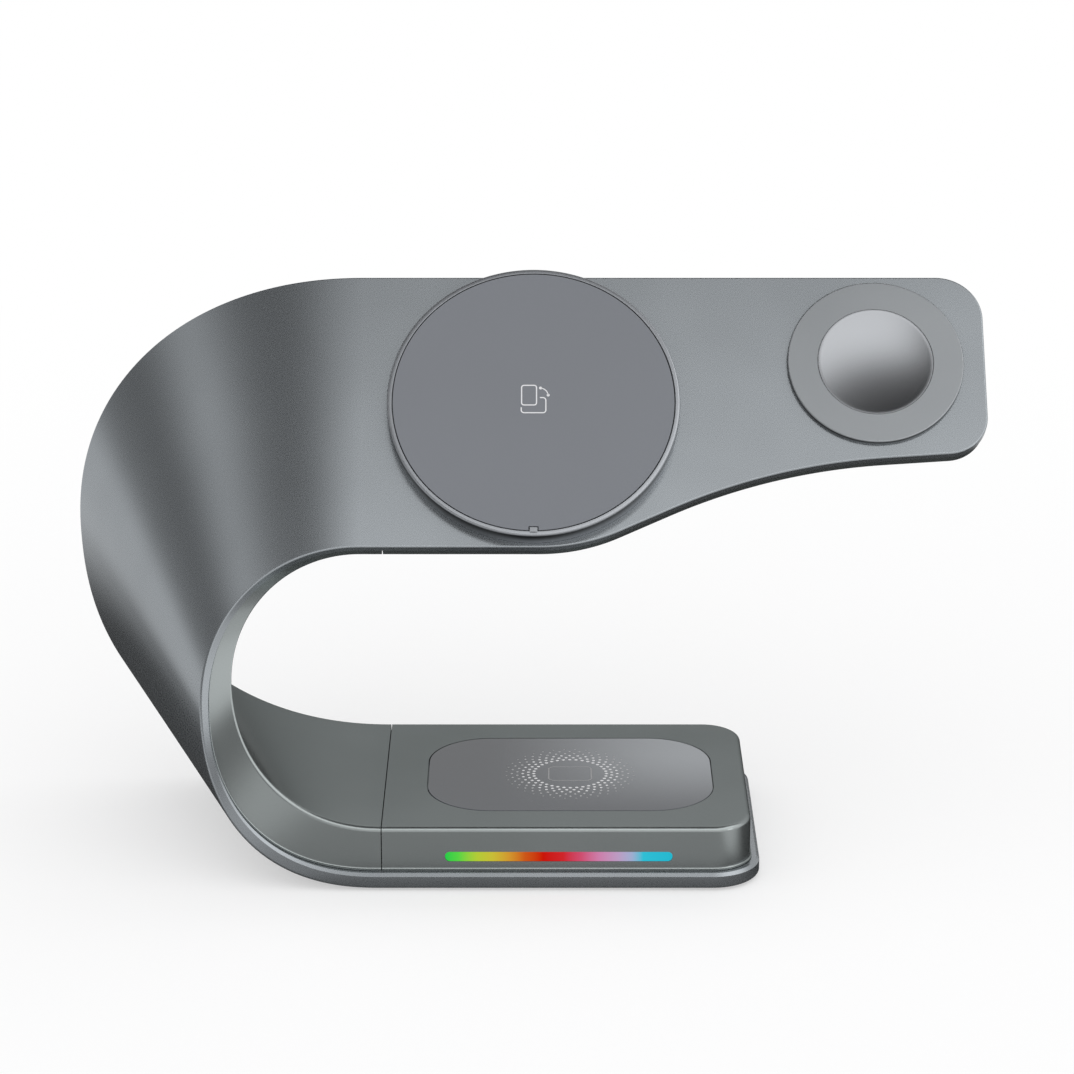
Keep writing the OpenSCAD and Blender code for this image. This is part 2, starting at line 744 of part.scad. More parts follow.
// Chips, coils and capacitors: place from the board's corner, size
module main_chips() {
    top = board_z + board_t;
    blocks = [
        [[9, 8], [7, 7, 1]],
        [[18, 6.5], [6, 6, 2.4]],
        [[17, 14.5], [5, 5, 1]],
        [[9.5, 17], [4, 3, 1.2]],
        [[24, 11.5], [4, 6, 1.6]]
    ];
    can_x = can_inset + can_r;
    color(chip_black) stand() translate([board_x, board_y, top]) {
        for (b = blocks) translate([b[0][0] - b[1][0] / 2, b[0][1] - b[1][1] / 2, 0]) cube(b[1]);
        for (x = [can_x, board_l - can_x]) translate([x, board_w / 2, 0]) cylinder(r = can_r, h = can_h);
    }
}

module board_screws() {
    color(steel) stand() for (p = post_places)
        translate([p[0], p[1], board_z + board_t + board_screw_head_h]) rotate([180, 0, 0])
            pan_screw(board_screw_head, board_screw_head_h, board_screw_r, board_t + board_screw_grip);
}

module power_socket() {
    color(bright_metal) stand() translate([socket_x, socket_y, socket_z]) rotate([-90, 0, 0]) difference() {
        rounded_plate(socket_w, socket_h, socket_h / 2 - end_flat, socket_l);
        difference() {
            translate([0, 0, socket_back])
                rounded_plate(socket_w - 2 * socket_wall, socket_h - 2 * socket_wall,
                    socket_h / 2 - socket_wall - end_flat, socket_l);
            translate([-tongue_w / 2, -tongue_t / 2, 0]) cube([tongue_w, tongue_t, socket_l - socket_back]);
        }
    }
}

module ballast_plate() {
    color(steel) stand() difference() {
        translate([ballast_x, ballast_y, shell_t])
            cube([base_l - ballast_end - ballast_x, band_w - ballast_rear - ballast_y, ballast_t]);
        for (p = base_screw_places) translate([p[0], p[1], 0]) cylinder(r = boss_r + slip, h = base_h);
        for (p = post_places) translate([p[0], p[1], 0]) cylinder(r = post_r + slip, h = base_h);
    }
}

module rubber_feet() {
    chamfer = 0.3;
    color(rubber_black) stand() for (p = foot_places) translate([p[0], p[1], -foot_stand]) {
        cylinder(r1 = foot_r - chamfer, r2 = foot_r, h = chamfer);
        translate([0, 0, chamfer]) cylinder(r = foot_r, h = foot_stand + foot_sink - chamfer);
    }
}

module base_screws() {
    color(steel) stand() for (p = base_screw_places)
        translate([p[0], p[1], screw_seat - screw_head_h])
            pan_screw(screw_head_r, screw_head_h, screw_r, boss_top - screw_seat + screw_grip);
}

module phone_puck_body() {
    color(graphite) stand() on_arm() translate([puck_x, puck_v, 0]) difference() {
        union() {
            difference() {
                union() {
                    cylinder(r = puck_r, h = puck_h - puck_edge_r);
                    translate([0, 0, puck_h - puck_edge_r])
                        cylinder(r1 = puck_r, r2 = puck_r - puck_edge_r, h = puck_edge_r);
                }
                translate([0, 0, puck_floor]) cylinder(r = puck_r - puck_rim - face_ledge, h = puck_h);
                difference() {
                    translate([0, 0, face_z]) cylinder(r = puck_r - puck_rim, h = puck_h);
                    translate([-tab_w / 2, -puck_r, 0]) cube([tab_w, puck_rim + tab_l, puck_h]);
                }
            }
            for (a = puck_screw_turns) rotate([0, 0, a]) translate([puck_boss_at, 0, 0])
                cylinder(r = puck_boss_r, h = face_z - slip);
        }
        translate([0, 0, -cut]) cylinder(r = lead_hole_r, h = puck_floor + 2 * cut);
        for (a = puck_screw_turns) rotate([0, 0, a]) translate([puck_boss_at, 0, -cut])
            cylinder(r = puck_screw_r + play, h = cut + face_z - puck_boss_cap);
    }
}

module phone_puck_face() {
    color(face_grey) stand() on_arm() translate([puck_x, puck_v, face_z]) difference() {
        cylinder(r = puck_r - puck_rim - seam_gap, h = face_t);
        translate([-tab_w / 2 - seam_gap, -puck_r, -cut])
            cube([tab_w + 2 * seam_gap, puck_rim + tab_l + seam_gap, face_t + 2 * cut]);
    }
}

module phone_magnets() {
    step = 360 / magnet_places;
    color(bright_metal) stand() on_arm() translate([puck_x, puck_v, puck_floor])
        for (i = [1 : magnet_places - 1]) rotate([0, 0, -90 + (i - 0.5) * step + magnet_gap])
            rotate_extrude(angle = step - 2 * magnet_gap)
                translate([magnet_r, 0]) square([magnet_w, magnet_t]);
}

module phone_coil() {
    color(copper) stand() on_arm() translate([puck_x, puck_v, puck_floor + phone_ferrite_t])
        ring(phone_core_r + coil_edge, phone_ferrite_r - coil_edge, phone_coil_t);
}

module phone_ferrite() {
    color(ferrite_grey) stand() on_arm() translate([puck_x, puck_v, puck_floor])
        ring(phone_core_r, phone_ferrite_r, phone_ferrite_t);
}

module puck_screws() {
    color(steel) stand() on_arm() translate([puck_x, puck_v, -shell_t - puck_screw_head_h])
        for (a = puck_screw_turns) rotate([0, 0, a]) translate([puck_boss_at, 0, 0])
            pan_screw(puck_screw_head_r, puck_screw_head_h, puck_screw_r,
                shell_t + face_z - puck_boss_cap - puck_screw_spare);
}

module phone_board() {
    color(board_green) stand() into_arm() translate([arm_board_x, arm_board_v, shell_t])
        cube([arm_board_l, arm_board_w, thin_board_t]);
}

module phone_chips() {
    blocks = [[[3, 3], [5, 5]], [[3, 15], [7, 4]], [[13, 17], [4, 6]]];
    color(chip_black) stand() into_arm() translate([arm_board_x, arm_board_v, shell_t + thin_board_t]) {
        for (b = blocks) translate(b[0]) linear_extrude(chip_t) square(b[1]);
        translate([arm_board_l - plug_l, watch_v - arm_board_v - lead_w / 2, 0])
            cube([plug_l, lead_w, plug_t]);
    }
}

module watch_ring() {
    color(graphite) stand() on_arm() translate([watch_x, watch_v, 0]) difference() {
        union() {
            cylinder(r = watch_r, h = watch_h - watch_edge_r);
            translate([0, 0, watch_h - watch_edge_r])
                cylinder(r1 = watch_r, r2 = watch_r - watch_edge_r, h = watch_edge_r);
            translate([0, 0, -watch_depth]) cylinder(r = barrel_r, h = watch_depth);
        }
        translate([0, 0, -watch_depth - cut]) cylinder(r = watch_bore_r, h = watch_depth + cut + dish_base);
        cylinder(r = dish_r + play, h = watch_h + cut);
    }
}

// Its dish is a shallow piece of a ball, inside a narrow flat rim
module watch_dome() {
    span = dish_r - dish_rim;
    ball_r = (span * span + dish_depth * dish_depth) / (2 * dish_depth);
    color(bright_metal) stand() on_arm() translate([watch_x, watch_v, 0]) {
        difference() {
            translate([0, 0, dish_base]) cylinder(r = dish_r, h = dish_seat);
            translate([0, 0, watch_h - dish_depth + ball_r]) sphere(r = ball_r, $fn = 240);
        }
        translate([0, 0, dish_base - dish_flange_t])
            cylinder(r = dish_r + dish_flange, h = dish_flange_t);
    }
}

module watch_coil() {
    color(copper) stand() on_arm()
        translate([watch_x, watch_v, dish_base - dish_flange_t - watch_coil_t])
            ring(watch_core_r, dish_r + dish_flange, watch_coil_t);
}

module watch_ferrite() {
    color(ferrite_grey) stand() on_arm() translate([watch_x, watch_v, watch_board_t - watch_depth])
        cylinder(r = dish_r + dish_flange, h = watch_ferrite_t);
}

module watch_board() {
    color(board_green) stand() on_arm() translate([watch_x, watch_v, -watch_depth])
        cylinder(r = dish_r + dish_flange, h = watch_board_t);
}

// Flat lead from the main board, along the shell through the bend, to the board in the arm
module arm_ribbon() {
    low = shell_t + 2 * play;
    high = low + ribbon_t;
    over = shell_t + ballast_t;
    end = board_x + post_inset - post_r - slip;
    top = ballast_x - ramp_gap;
    loops = [for (t = turns_down) section(t, along(t)[0], [
        by_front(ribbon_v, low), by_front(ribbon_v + ribbon_w, low),
        by_front(ribbon_v + ribbon_w, high), by_front(ribbon_v, high)])];
    color(ribbon_amber) stand() {
        loft(loops, [[0, 1, 2, 3]]);
        translate([0, ribbon_v + ribbon_w, 0]) rotate([90, 0, 0]) linear_extrude(ribbon_w)
            polygon([
                [0, low], [ramp_x, low], [top, over], [end, over],
                [end, over + ribbon_t], [top - ramp_shift, over + ribbon_t],
                [ramp_x - ramp_shift, high], [0, high]
            ]);
        into_arm() translate([-arm_joint, ribbon_v, low])
            cube([arm_joint + arm_board_x, ribbon_w, ribbon_t]);
    }
}

module watch_lead() {
    start = arm_board_x + arm_board_l - plug_l;
    color(ribbon_amber) stand() into_arm() translate([start, watch_v - lead_w / 2, watch_depth])
        cube([watch_x - lead_in - start, lead_w, lead_t]);
}

outer_shell();
bend_inner_cover();
base_top_cover();
arm_back_cover();
light_bar();
led_board();
bar_lamps();
earbud_pad();
earbud_coil();
earbud_ferrite();
main_board();
main_chips();
board_screws();
power_socket();
ballast_plate();
rubber_feet();
base_screws();
phone_puck_body();
phone_puck_face();
phone_magnets();
phone_coil();
phone_ferrite();
puck_screws();
phone_board();
phone_chips();
watch_ring();
watch_dome();
watch_coil();
watch_ferrite();
watch_board();
arm_ribbon();
watch_lead();
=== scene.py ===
"""Looks of a three-in-one wireless charging station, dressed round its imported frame.

Sizes are in millimetres in the stand's own frame, which starts at the seam between the base's
top and the bend, at the base's front edge, on the underside of the shell. Meshes are put into
the row's frame in metres as they are made.
"""
from __future__ import annotations

import logging
import math
from dataclasses import asdict, dataclass
from enum import Enum
from typing import Callable, Sequence

import bmesh
import bpy
from mathutils import Matrix, Vector


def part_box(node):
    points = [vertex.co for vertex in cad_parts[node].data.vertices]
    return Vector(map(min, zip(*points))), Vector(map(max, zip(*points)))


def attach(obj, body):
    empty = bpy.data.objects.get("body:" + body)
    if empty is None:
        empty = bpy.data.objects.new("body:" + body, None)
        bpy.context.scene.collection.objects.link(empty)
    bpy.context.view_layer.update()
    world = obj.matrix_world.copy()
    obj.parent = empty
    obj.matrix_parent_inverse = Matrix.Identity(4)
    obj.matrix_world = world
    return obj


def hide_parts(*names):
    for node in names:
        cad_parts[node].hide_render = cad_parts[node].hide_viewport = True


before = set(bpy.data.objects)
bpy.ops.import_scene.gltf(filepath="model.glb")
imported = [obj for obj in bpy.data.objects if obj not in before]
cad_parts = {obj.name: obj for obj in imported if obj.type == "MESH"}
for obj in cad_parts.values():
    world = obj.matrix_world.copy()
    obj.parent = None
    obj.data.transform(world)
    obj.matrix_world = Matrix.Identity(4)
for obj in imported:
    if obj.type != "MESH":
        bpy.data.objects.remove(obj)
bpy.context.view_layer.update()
log = logging.getLogger("station")

Point = Sequence[float]
Loop = list[Vector]
Outline = list[tuple[float, float]]
Colour = tuple[float, float, float]
Piece = bpy.types.Object
Material = bpy.types.Material
Socket = bpy.types.NodeSocket

MM = 0.001
WHOLE = "root"
SHARP = math.radians(33)
FLAT_WEIGHT = 60
NODE_WEIGHT = 50
ON_AXIS = 1e-9
HAIR = 1e-6
RIM_STEPS = 5
WHITE = (1.0, 1.0, 1.0, 1.0)
ORIGIN = (0.0, 0.0, 0.0)
FLOAT = "NodeSocketFloat"
UPRIGHT = Matrix.Rotation(math.pi / 2, 4, "X")


class Slot(Enum):
    """Names of material slots, which the log gives for each new piece."""

    SHELL = "shell"
    COVER = "cover"
    LIGHT_BAR = "light_bar"
    PAD = "pad"
    PUCK_METAL = "puck_metal"
    PUCK_FACE = "puck_face"
    WATCH_RING = "watch_ring"
    DOME = "dome_metal"


# Shader building


@dataclass(frozen=True)
class Fade:
    """A smooth change from a first value to a last one, between a start and an end."""

    start: float
    end: float
    first: float = 0.0
    last: float = 1.0


class Shader:
    """Places and links the nodes of one shader tree."""

    def __init__(self, tree: bpy.types.NodeTree) -> None:
        """Starts with an empty tree."""
        self.tree = tree
        tree.nodes.clear()

    def node(
        self, kind: str, inputs: dict[str | int, object] | None = None, **settings: object
    ) -> bpy.types.Node:
        """Adds a node.

        Args:
            kind: Blender's name of the node's type, without its leading "ShaderNode".
            inputs: values or output sockets for its inputs, by name or by place.
            settings: properties of the node.

        Returns:
            The new node.
        """
        made = self.tree.nodes.new(kind if kind.startswith("Node") else "ShaderNode" + kind)
        for name, value in settings.items():
            setattr(made, name, value)
        for name, value in (inputs or {}).items():
            if isinstance(value, bpy.types.NodeSocket):
                self.tree.links.new(value, made.inputs[name])
            else:
                made.inputs[name].default_value = value
        return made

    def math(self, operation: str, first: object, second: object = 0.0) -> Socket:
        """Adds a math node and gives its value."""
        return self.node("Math", {0: first, 1: second}, operation=operation).outputs[0]

    def vector(self, operation: str, first: object, second: object = ORIGIN) -> Socket:
        """Adds a vector math node and gives its vector."""
        return self.node("VectorMath", {0: first, 1: second}, operation=operation).outputs[0]

    def length(self, vector: object) -> Socket:
        """Adds a node that measures a vector and gives its length."""
        return self.node("VectorMath", {0: vector}, operation="LENGTH").outputs["Value"]

    def reach(self, vector: object, axis: object) -> Socket:
        """Adds a dot product and gives how far a vector reaches along an axis."""
        made = self.node("VectorMath", {0: vector, 1: axis}, operation="DOT_PRODUCT")
        return made.outputs["Value"]

    def parts(self, vector: object) -> tuple[Socket, ...]:
        """Adds a node that splits a vector and gives its three parts."""
        return tuple(self.node("SeparateXYZ", {0: vector}).outputs)

    def mix(self, share: object, first: object, second: object) -> Socket:
        """Adds a colour mix and gives its colour."""
        made = self.node("Mix", {0: share, 6: first, 7: second}, data_type="RGBA")
        return made.outputs[2]

    def multiply(self, first: object, second: object) -> Socket:
        """Adds the product of two colours and gives it."""
        inputs = {0: 1.0, 6: first, 7: second}
        return self.node("Mix", inputs, data_type="RGBA", blend_type="MULTIPLY").outputs[2]

    def remap(self, value: object, fade: Fade) -> Socket:
        """Adds a smooth map from one range to another.

        Args:
            value: what is mapped.
            fade: the range that it comes from, and the values at its ends.

        Returns:
            The mapped value.
        """
        made = self.node(
            "MapRange",
            {
                "Value": value, "From Min": fade.start, "From Max": fade.end,
                "To Min": fade.first, "To Max": fade.last,
            },
            interpolation_type="SMOOTHSTEP",
        )
        return made.outputs[0]

    def ramp(
        self, value: object, stops: Sequence[tuple[float, Colour]], smooth: bool = True
    ) -> Socket:
        """Adds a colour ramp.

        Args:
            value: what is looked up, from 0 to 1.
            stops: places and colours.
            smooth: whether the colours run into each other in a curve.

        Returns:
            The ramp's colour.
        """
        made = self.node("ValToRGB", {0: value})
        band = made.color_ramp
        band.interpolation = "EASE" if smooth else "LINEAR"
        while len(band.elements) < len(stops):
            band.elements.new(0.5)
        for element, (place, colour) in zip(band.elements, stops):
            element.position = place
            element.color = (*colour, 1.0)
        return made.outputs[0]

    def place(self) -> Socket:
        """Gives the point on the object, in metres in the row's frame."""
        return self.node("TexCoord").outputs["Object"]


def shader_group(
    name: str,
    inputs: Sequence[str],
    outputs: Sequence[str],
    fill: Callable[[Shader, bpy.types.Node], dict[str, Socket]],
) -> bpy.types.NodeTree:
    """Builds a shader node group once, and finds it again later.

    Args:
        name: the group's name.
        inputs: names of its inputs, each a number.
        outputs: names of its outputs, each a number.
        fill: makes the inner nodes and returns a socket for each output.

    Returns:
        The group's tree.
    """
    found = bpy.data.node_groups.get(name)
    if found:
        return found
    tree = bpy.data.node_groups.new(name, "ShaderNodeTree")
    for way, labels in (("INPUT", inputs), ("OUTPUT", outputs)):
        for label in labels:
            tree.interface.new_socket(name=label, in_out=way, socket_type=FLOAT)
    shader = Shader(tree)
    results = fill(shader, shader.node("NodeGroupInput"))
    shader.node("NodeGroupOutput", results)
    return tree


def fine_grain() -> bpy.types.NodeTree:
    """Grain of paint, cast or blasted faces.

    Returns:
        A group that gives a height, a mask of the flakes and a slow cloud, each from 0 to 1.
    """
    flake_fade = Fade(0.05, 0.45, 1.0, 0.0)
    cloud_fade = Fade(0.3, 0.7)

    def fill(shader: Shader, given: bpy.types.Node) -> dict[str, Socket]:
        """Makes the group's nodes.

        Args:
            shader: the group's tree.
            given: the node that holds the group's inputs.

        Returns:
            A socket for each output.
        """
        where, scale = shader.place(), given.outputs
        fine = shader.node("TexNoise", {"Vector": where, "Scale": scale["Scale"], "Detail": 2.0})
        flake = shader.node("TexVoronoi", {"Vector": where, "Scale": scale["Flake scale"]})
        slow = shader.node(
            "TexNoise", {"Vector": where, "Scale": scale["Cloud scale"], "Detail": 3.0}
        )
        return {
            "Height": fine.outputs[0],
            "Flakes": shader.remap(flake.outputs["Distance"], flake_fade),
            "Cloud": shader.remap(slow.outputs[0], cloud_fade),
        }

    return shader_group(
        "fine_grain", ("Scale", "Flake scale", "Cloud scale"), ("Height", "Flakes", "Cloud"), fill
    )


def wound_wire() -> bpy.types.NodeTree:
    """Turns of wire in a flat coil, from the distance to the coil's axis.

    Returns:
        A group that gives the height of the turns and a mask of the gaps between them.
    """
    hill_fade = Fade(0.0, 0.8)
    gap_fade = Fade(0.35, 0.0)

    def fill(shader: Shader, given: bpy.types.Node) -> dict[str, Socket]:
        """Makes the group's nodes.

        Args:
            shader: the group's tree.
            given: the node that holds the group's inputs.

        Returns:
            A socket for each output.
        """
        turns = shader.math("DIVIDE", given.outputs["Radius"], given.outputs["Pitch"])
        saw = shader.math("FRACT", turns)
        hill = shader.math("PINGPONG", shader.math("MULTIPLY", saw, 2.0), 1.0)
        return {"Height": shader.remap(hill, hill_fade), "Gap": shader.remap(hill, gap_fade)}

    return shader_group("wound_wire", ("Radius", "Pitch"), ("Height", "Gap"), fill)


@dataclass(frozen=True)
class Finish:
    """A finish with grain in its colour, its gloss and its surface."""

    name: str
    light: Colour
    dark: Colour
    roughness: float
    metallic: float = 0.0
    uneven: float = 0.06
    grain: float = 2600.0
    flakes: float = 5200.0
    clouds: float = 22.0
    sparkle: float = 0.25
    bump: float = 0.00001
    coat: float = 0.0
    coat_roughness: float = 0.2
    specular: float = 0.5
    edge_gloss: float = 1.0

    def material(self) -> Material:
        """Builds the material.

        Returns:
            The material, with its Principled BSDF joined to the output.
        """
        material = bpy.data.materials.new(self.name)
        material.use_nodes = True
        shader = Shader(material.node_tree)
        inputs = self.grained(shader)
        self.alter(shader, inputs)
        surface = shader.node("BsdfPrincipled", {**self.fixed(), **inputs})
        shader.node("OutputMaterial", {"Surface": surface.outputs[0]})
        return material

    def alter(self, shader: Shader, inputs: dict[str, object]) -> None:
        """Changes the inputs where a finish has more than its grain; a plain one has not."""

    def grained(self, shader: Shader) -> dict[str, object]:
        """Makes colour, roughness and normal from the grain.

        Args:
            shader: the material's tree.

        Returns:
            Inputs for the Principled BSDF.
        """
        scales = {"Scale": self.grain, "Flake scale": self.flakes, "Cloud scale": self.clouds}
        grain = shader.node("Group", scales, node_tree=fine_grain()).outputs
        share = shader.math(
            "ADD",
            shader.math("MULTIPLY", grain["Cloud"], 1.0 - self.sparkle),
            shader.math("MULTIPLY", grain["Flakes"], self.sparkle),
        )
        rough = {0: grain["Height"], 1: self.uneven, 2: self.roughness - self.uneven / 2}
        bump = {"Height": grain["Height"], "Distance": self.bump, "Strength": 1.0}
        return {
            "Base Color": shader.mix(share, (*self.dark, 1.0), (*self.light, 1.0)),
            "Roughness": shader.node("Math", rough, operation="MULTIPLY_ADD").outputs[0],
            "Normal": shader.node("Bump", bump).outputs[0],
        }

    def fixed(self) -> dict[str, object]:
        """Gives the values that are the same all over the surface.

        Returns:
            Inputs for the Principled BSDF.
        """
        return {
            "Metallic": self.metallic,
            "Coat Weight": self.coat,
            "Coat Roughness": self.coat_roughness,
            "Specular IOR Level": self.specular,
            "Specular Tint": (self.edge_gloss, self.edge_gloss, self.edge_gloss, 1.0),
        }


@dataclass(frozen=True, kw_only=True)
class WoundCopper(Finish):
    """Enamelled wire wound in a flat spiral round an axis through a point."""

    axis_point: Point
    axis: Point
    pitch: float = 0.00075
    wire_stand: float = 0.25
    gap_level: float = 0.3

    def alter(self, shader: Shader, inputs: dict[str, object]) -> None:
        """Adds the turns of wire and the dark gaps between them.

        Args:
            shader: the material's tree.
            inputs: inputs for the Principled BSDF.
        """
        away = shader.vector("SUBTRACT", shader.place(), self.axis_point)
        radius = shader.length(shader.vector("CROSS_PRODUCT", away, self.axis))
        turns = {"Radius": radius, "Pitch": self.pitch}
        wire = shader.node("Group", turns, node_tree=wound_wire())
        gap = (*(level * self.gap_level for level in self.dark), 1.0)
        bump = {"Height": wire.outputs["Height"], "Distance": self.pitch * self.wire_stand}
        inputs["Base Color"] = shader.mix(wire.outputs["Gap"], inputs["Base Color"], gap)
        inputs["Normal"] = shader.node("Bump", bump).outputs[0]


@dataclass(frozen=True, kw_only=True)
class CircuitBoard(Finish):
    """Solder mask with fine tracks and tinned pads under it."""

    track: Colour = (0.10, 0.33, 0.16)
    track_scale: float = 380.0
    track_random: float = 0.35
    track_fade: Fade = Fade(0.30, 0.36)
    tin: Colour = (0.62, 0.62, 0.58)
    pad_scale: float = 620.0
    pad_random: float = 0.1
    pad_fade: Fade = Fade(0.16, 0.12)

    def alter(self, shader: Shader, inputs: dict[str, object]) -> None:
        """Adds the tracks and the pads.

        Args:
            shader: the material's tree.
            inputs: inputs for the Principled BSDF.
        """
        for colour, scale, random, fade in (
            (self.track, self.track_scale, self.track_random, self.track_fade),
            (self.tin, self.pad_scale, self.pad_random, self.pad_fade),
        ):
            pattern = {"Vector": shader.place(), "Scale": scale, "Randomness": random}
            cells = shader.node("TexVoronoi", pattern, distance="CHEBYCHEV", feature="F1")
            shown = shader.remap(cells.outputs["Distance"], fade)
            inputs["Base Color"] = shader.mix(shown, inputs["Base Color"], (*colour, 1.0))


@dataclass(frozen=True, kw_only=True)
class LitLens(Finish):
    """Milky lens lit from behind in a row of colours along X."""

    start_x: float
    end_x: float
    glow: float
    row: tuple[tuple[float, Colour], ...]

    def alter(self, shader: Shader, inputs: dict[str, object]) -> None:
        """Adds the row of colours, as light and in the milk of the lens.

        Args:
            shader: the material's tree.
            inputs: inputs for the Principled BSDF.
        """
        x = shader.parts(shader.place())[0]
        along = shader.node(
            "MapRange", {"Value": x, "From Min": self.start_x, "From Max": self.end_x}
        )
        colours = shader.ramp(along.outputs[0], self.row, smooth=False)
        inputs["Emission Color"] = colours
        inputs["Emission Strength"] = self.glow
        inputs["Base Color"] = shader.multiply(inputs["Base Color"], colours)


@dataclass(frozen=True, kw_only=True)
class GlossPad(Finish):
    """Back-painted glossy sheet with a painted reflection that gets paler towards its right rear
    corner.
    """

    # near and far are the dark and the pale colour of the painted reflection
    near: Colour
    far: Colour
    across: Fade = Fade(-0.010, 0.036)
    deep: Fade = Fade(-0.027, 0.010)
    grain_share: float = 0.25

    def alter(self, shader: Shader, inputs: dict[str, object]) -> None:
        """Adds the painted reflection across the sheet, dark at the left front and pale at the
        right rear.

        Args:
            shader: the material's tree.
            inputs: inputs for the Principled BSDF.
        """
        x, y, _ = shader.parts(shader.place())
        share = shader.math("MULTIPLY", shader.remap(x, self.across), shader.remap(y, self.deep))
        # painted reflection: from the dark near colour to the pale far one
        painted_light = shader.mix(share, (*self.near, 1.0), (*self.far, 1.0))
        inputs["Base Color"] = shader.mix(self.grain_share, painted_light, inputs["Base Color"])


@dataclass(frozen=True, kw_only=True)
class RimShade(Finish):
    """Paint with the shade that gathers on a wall right under its rim."""

    axis: Point
    low: float
    high: float
    dim: float
    rim_step: float = 0.0003

    def alter(self, shader: Shader, inputs: dict[str, object]) -> None:
        """Darkens the wall up to its rim, by the height along the axis.

        Args:
            shader: the material's tree.
            inputs: inputs for the Principled BSDF.
        """
        height = shader.reach(shader.place(), self.axis)
        under = shader.remap(height, Fade(self.low, self.high, 1.0, self.dim))
        past = shader.remap(height, Fade(self.high, self.high + self.rim_step))
        # painted shade: darkens the wall towards the rim, with full colour again past it
        painted_light = shader.math("MAXIMUM", under, past)
        inputs["Base Color"] = shader.multiply(inputs["Base Color"], painted_light)


# Shape building


def mix(first: float, second: float, share: float) -> float:
    """Gives the value a share of the way from the first to the second."""
    return first + (second - first) * share


def arc(centre: Point, radius: float, start: float, end: float, steps: int) -> Outline:
    """Gives points on an arc.

    Args:
        centre: its centre in the plane.
        radius: its radius.
        start: angle of the first point, in degrees.
        end: angle of the last point, in degrees.
        steps: number of steps between them.

    Returns:
        steps + 1 points.
    """
    turns = [math.radians(mix(start, end, i / steps)) for i in range(steps + 1)]
    return [(centre[0] + radius * math.cos(t), centre[1] + radius * math.sin(t)) for t in turns]


def rounding(radius: float, steps: int) -> Outline:
    """Gives insets and depths round an edge, from the side to the face."""
    turns = [math.radians(90 * i / steps) for i in range(steps + 1)]
    return [(radius * (1 - math.cos(t)), radius * (1 - math.sin(t))) for t in turns]


def rounded_box(length: float, width: float, radius: float, steps: int = 24) -> Outline:
    """Gives the outline of a rounded rectangle round the origin.

    Args:
        length: its size along the first axis.
        width: its size along the second axis.
        radius: radius of its corners.
        steps: number of steps in each corner.

    Returns:
        The outline, anticlockwise.
    """
    x, y = length / 2 - radius, width / 2 - radius
    points: Outline = []
    for cx, cy, start in ((x, -y, -90), (x, y, 0), (-x, y, 90), (-x, -y, 180)):
        points += arc((cx, cy), radius, start, start + 90, steps)
    return points


def circle(radius: float, steps: int = 160, centre: Point = (0.0, 0.0)) -> Outline:
    """Gives the outline of a circle, anticlockwise."""
    return arc(centre, radius, 0, 360, steps)[:-1]


def inset(outline: Sequence[Point], distance: float) -> Outline:
    """Moves an outline inwards, with mitred corners.

    Args:
        outline: the outline, anticlockwise.
        distance: how far it moves.

    Returns:
        The moved outline, point for point.
    """
    count = len(outline)
    moved = []
    for i in range(count):
        here = Vector(outline[i])
        back = (here - Vector(outline[i - 1])).normalized()
        on = (Vector(outline[(i + 1) % count]) - here).normalized()
        first, second = Vector((-back.y, back.x)), Vector((-on.y, on.x))
        way = first + second
        moved.append(tuple(here + way * (distance / (1.0 + first.dot(second)))))
    return moved


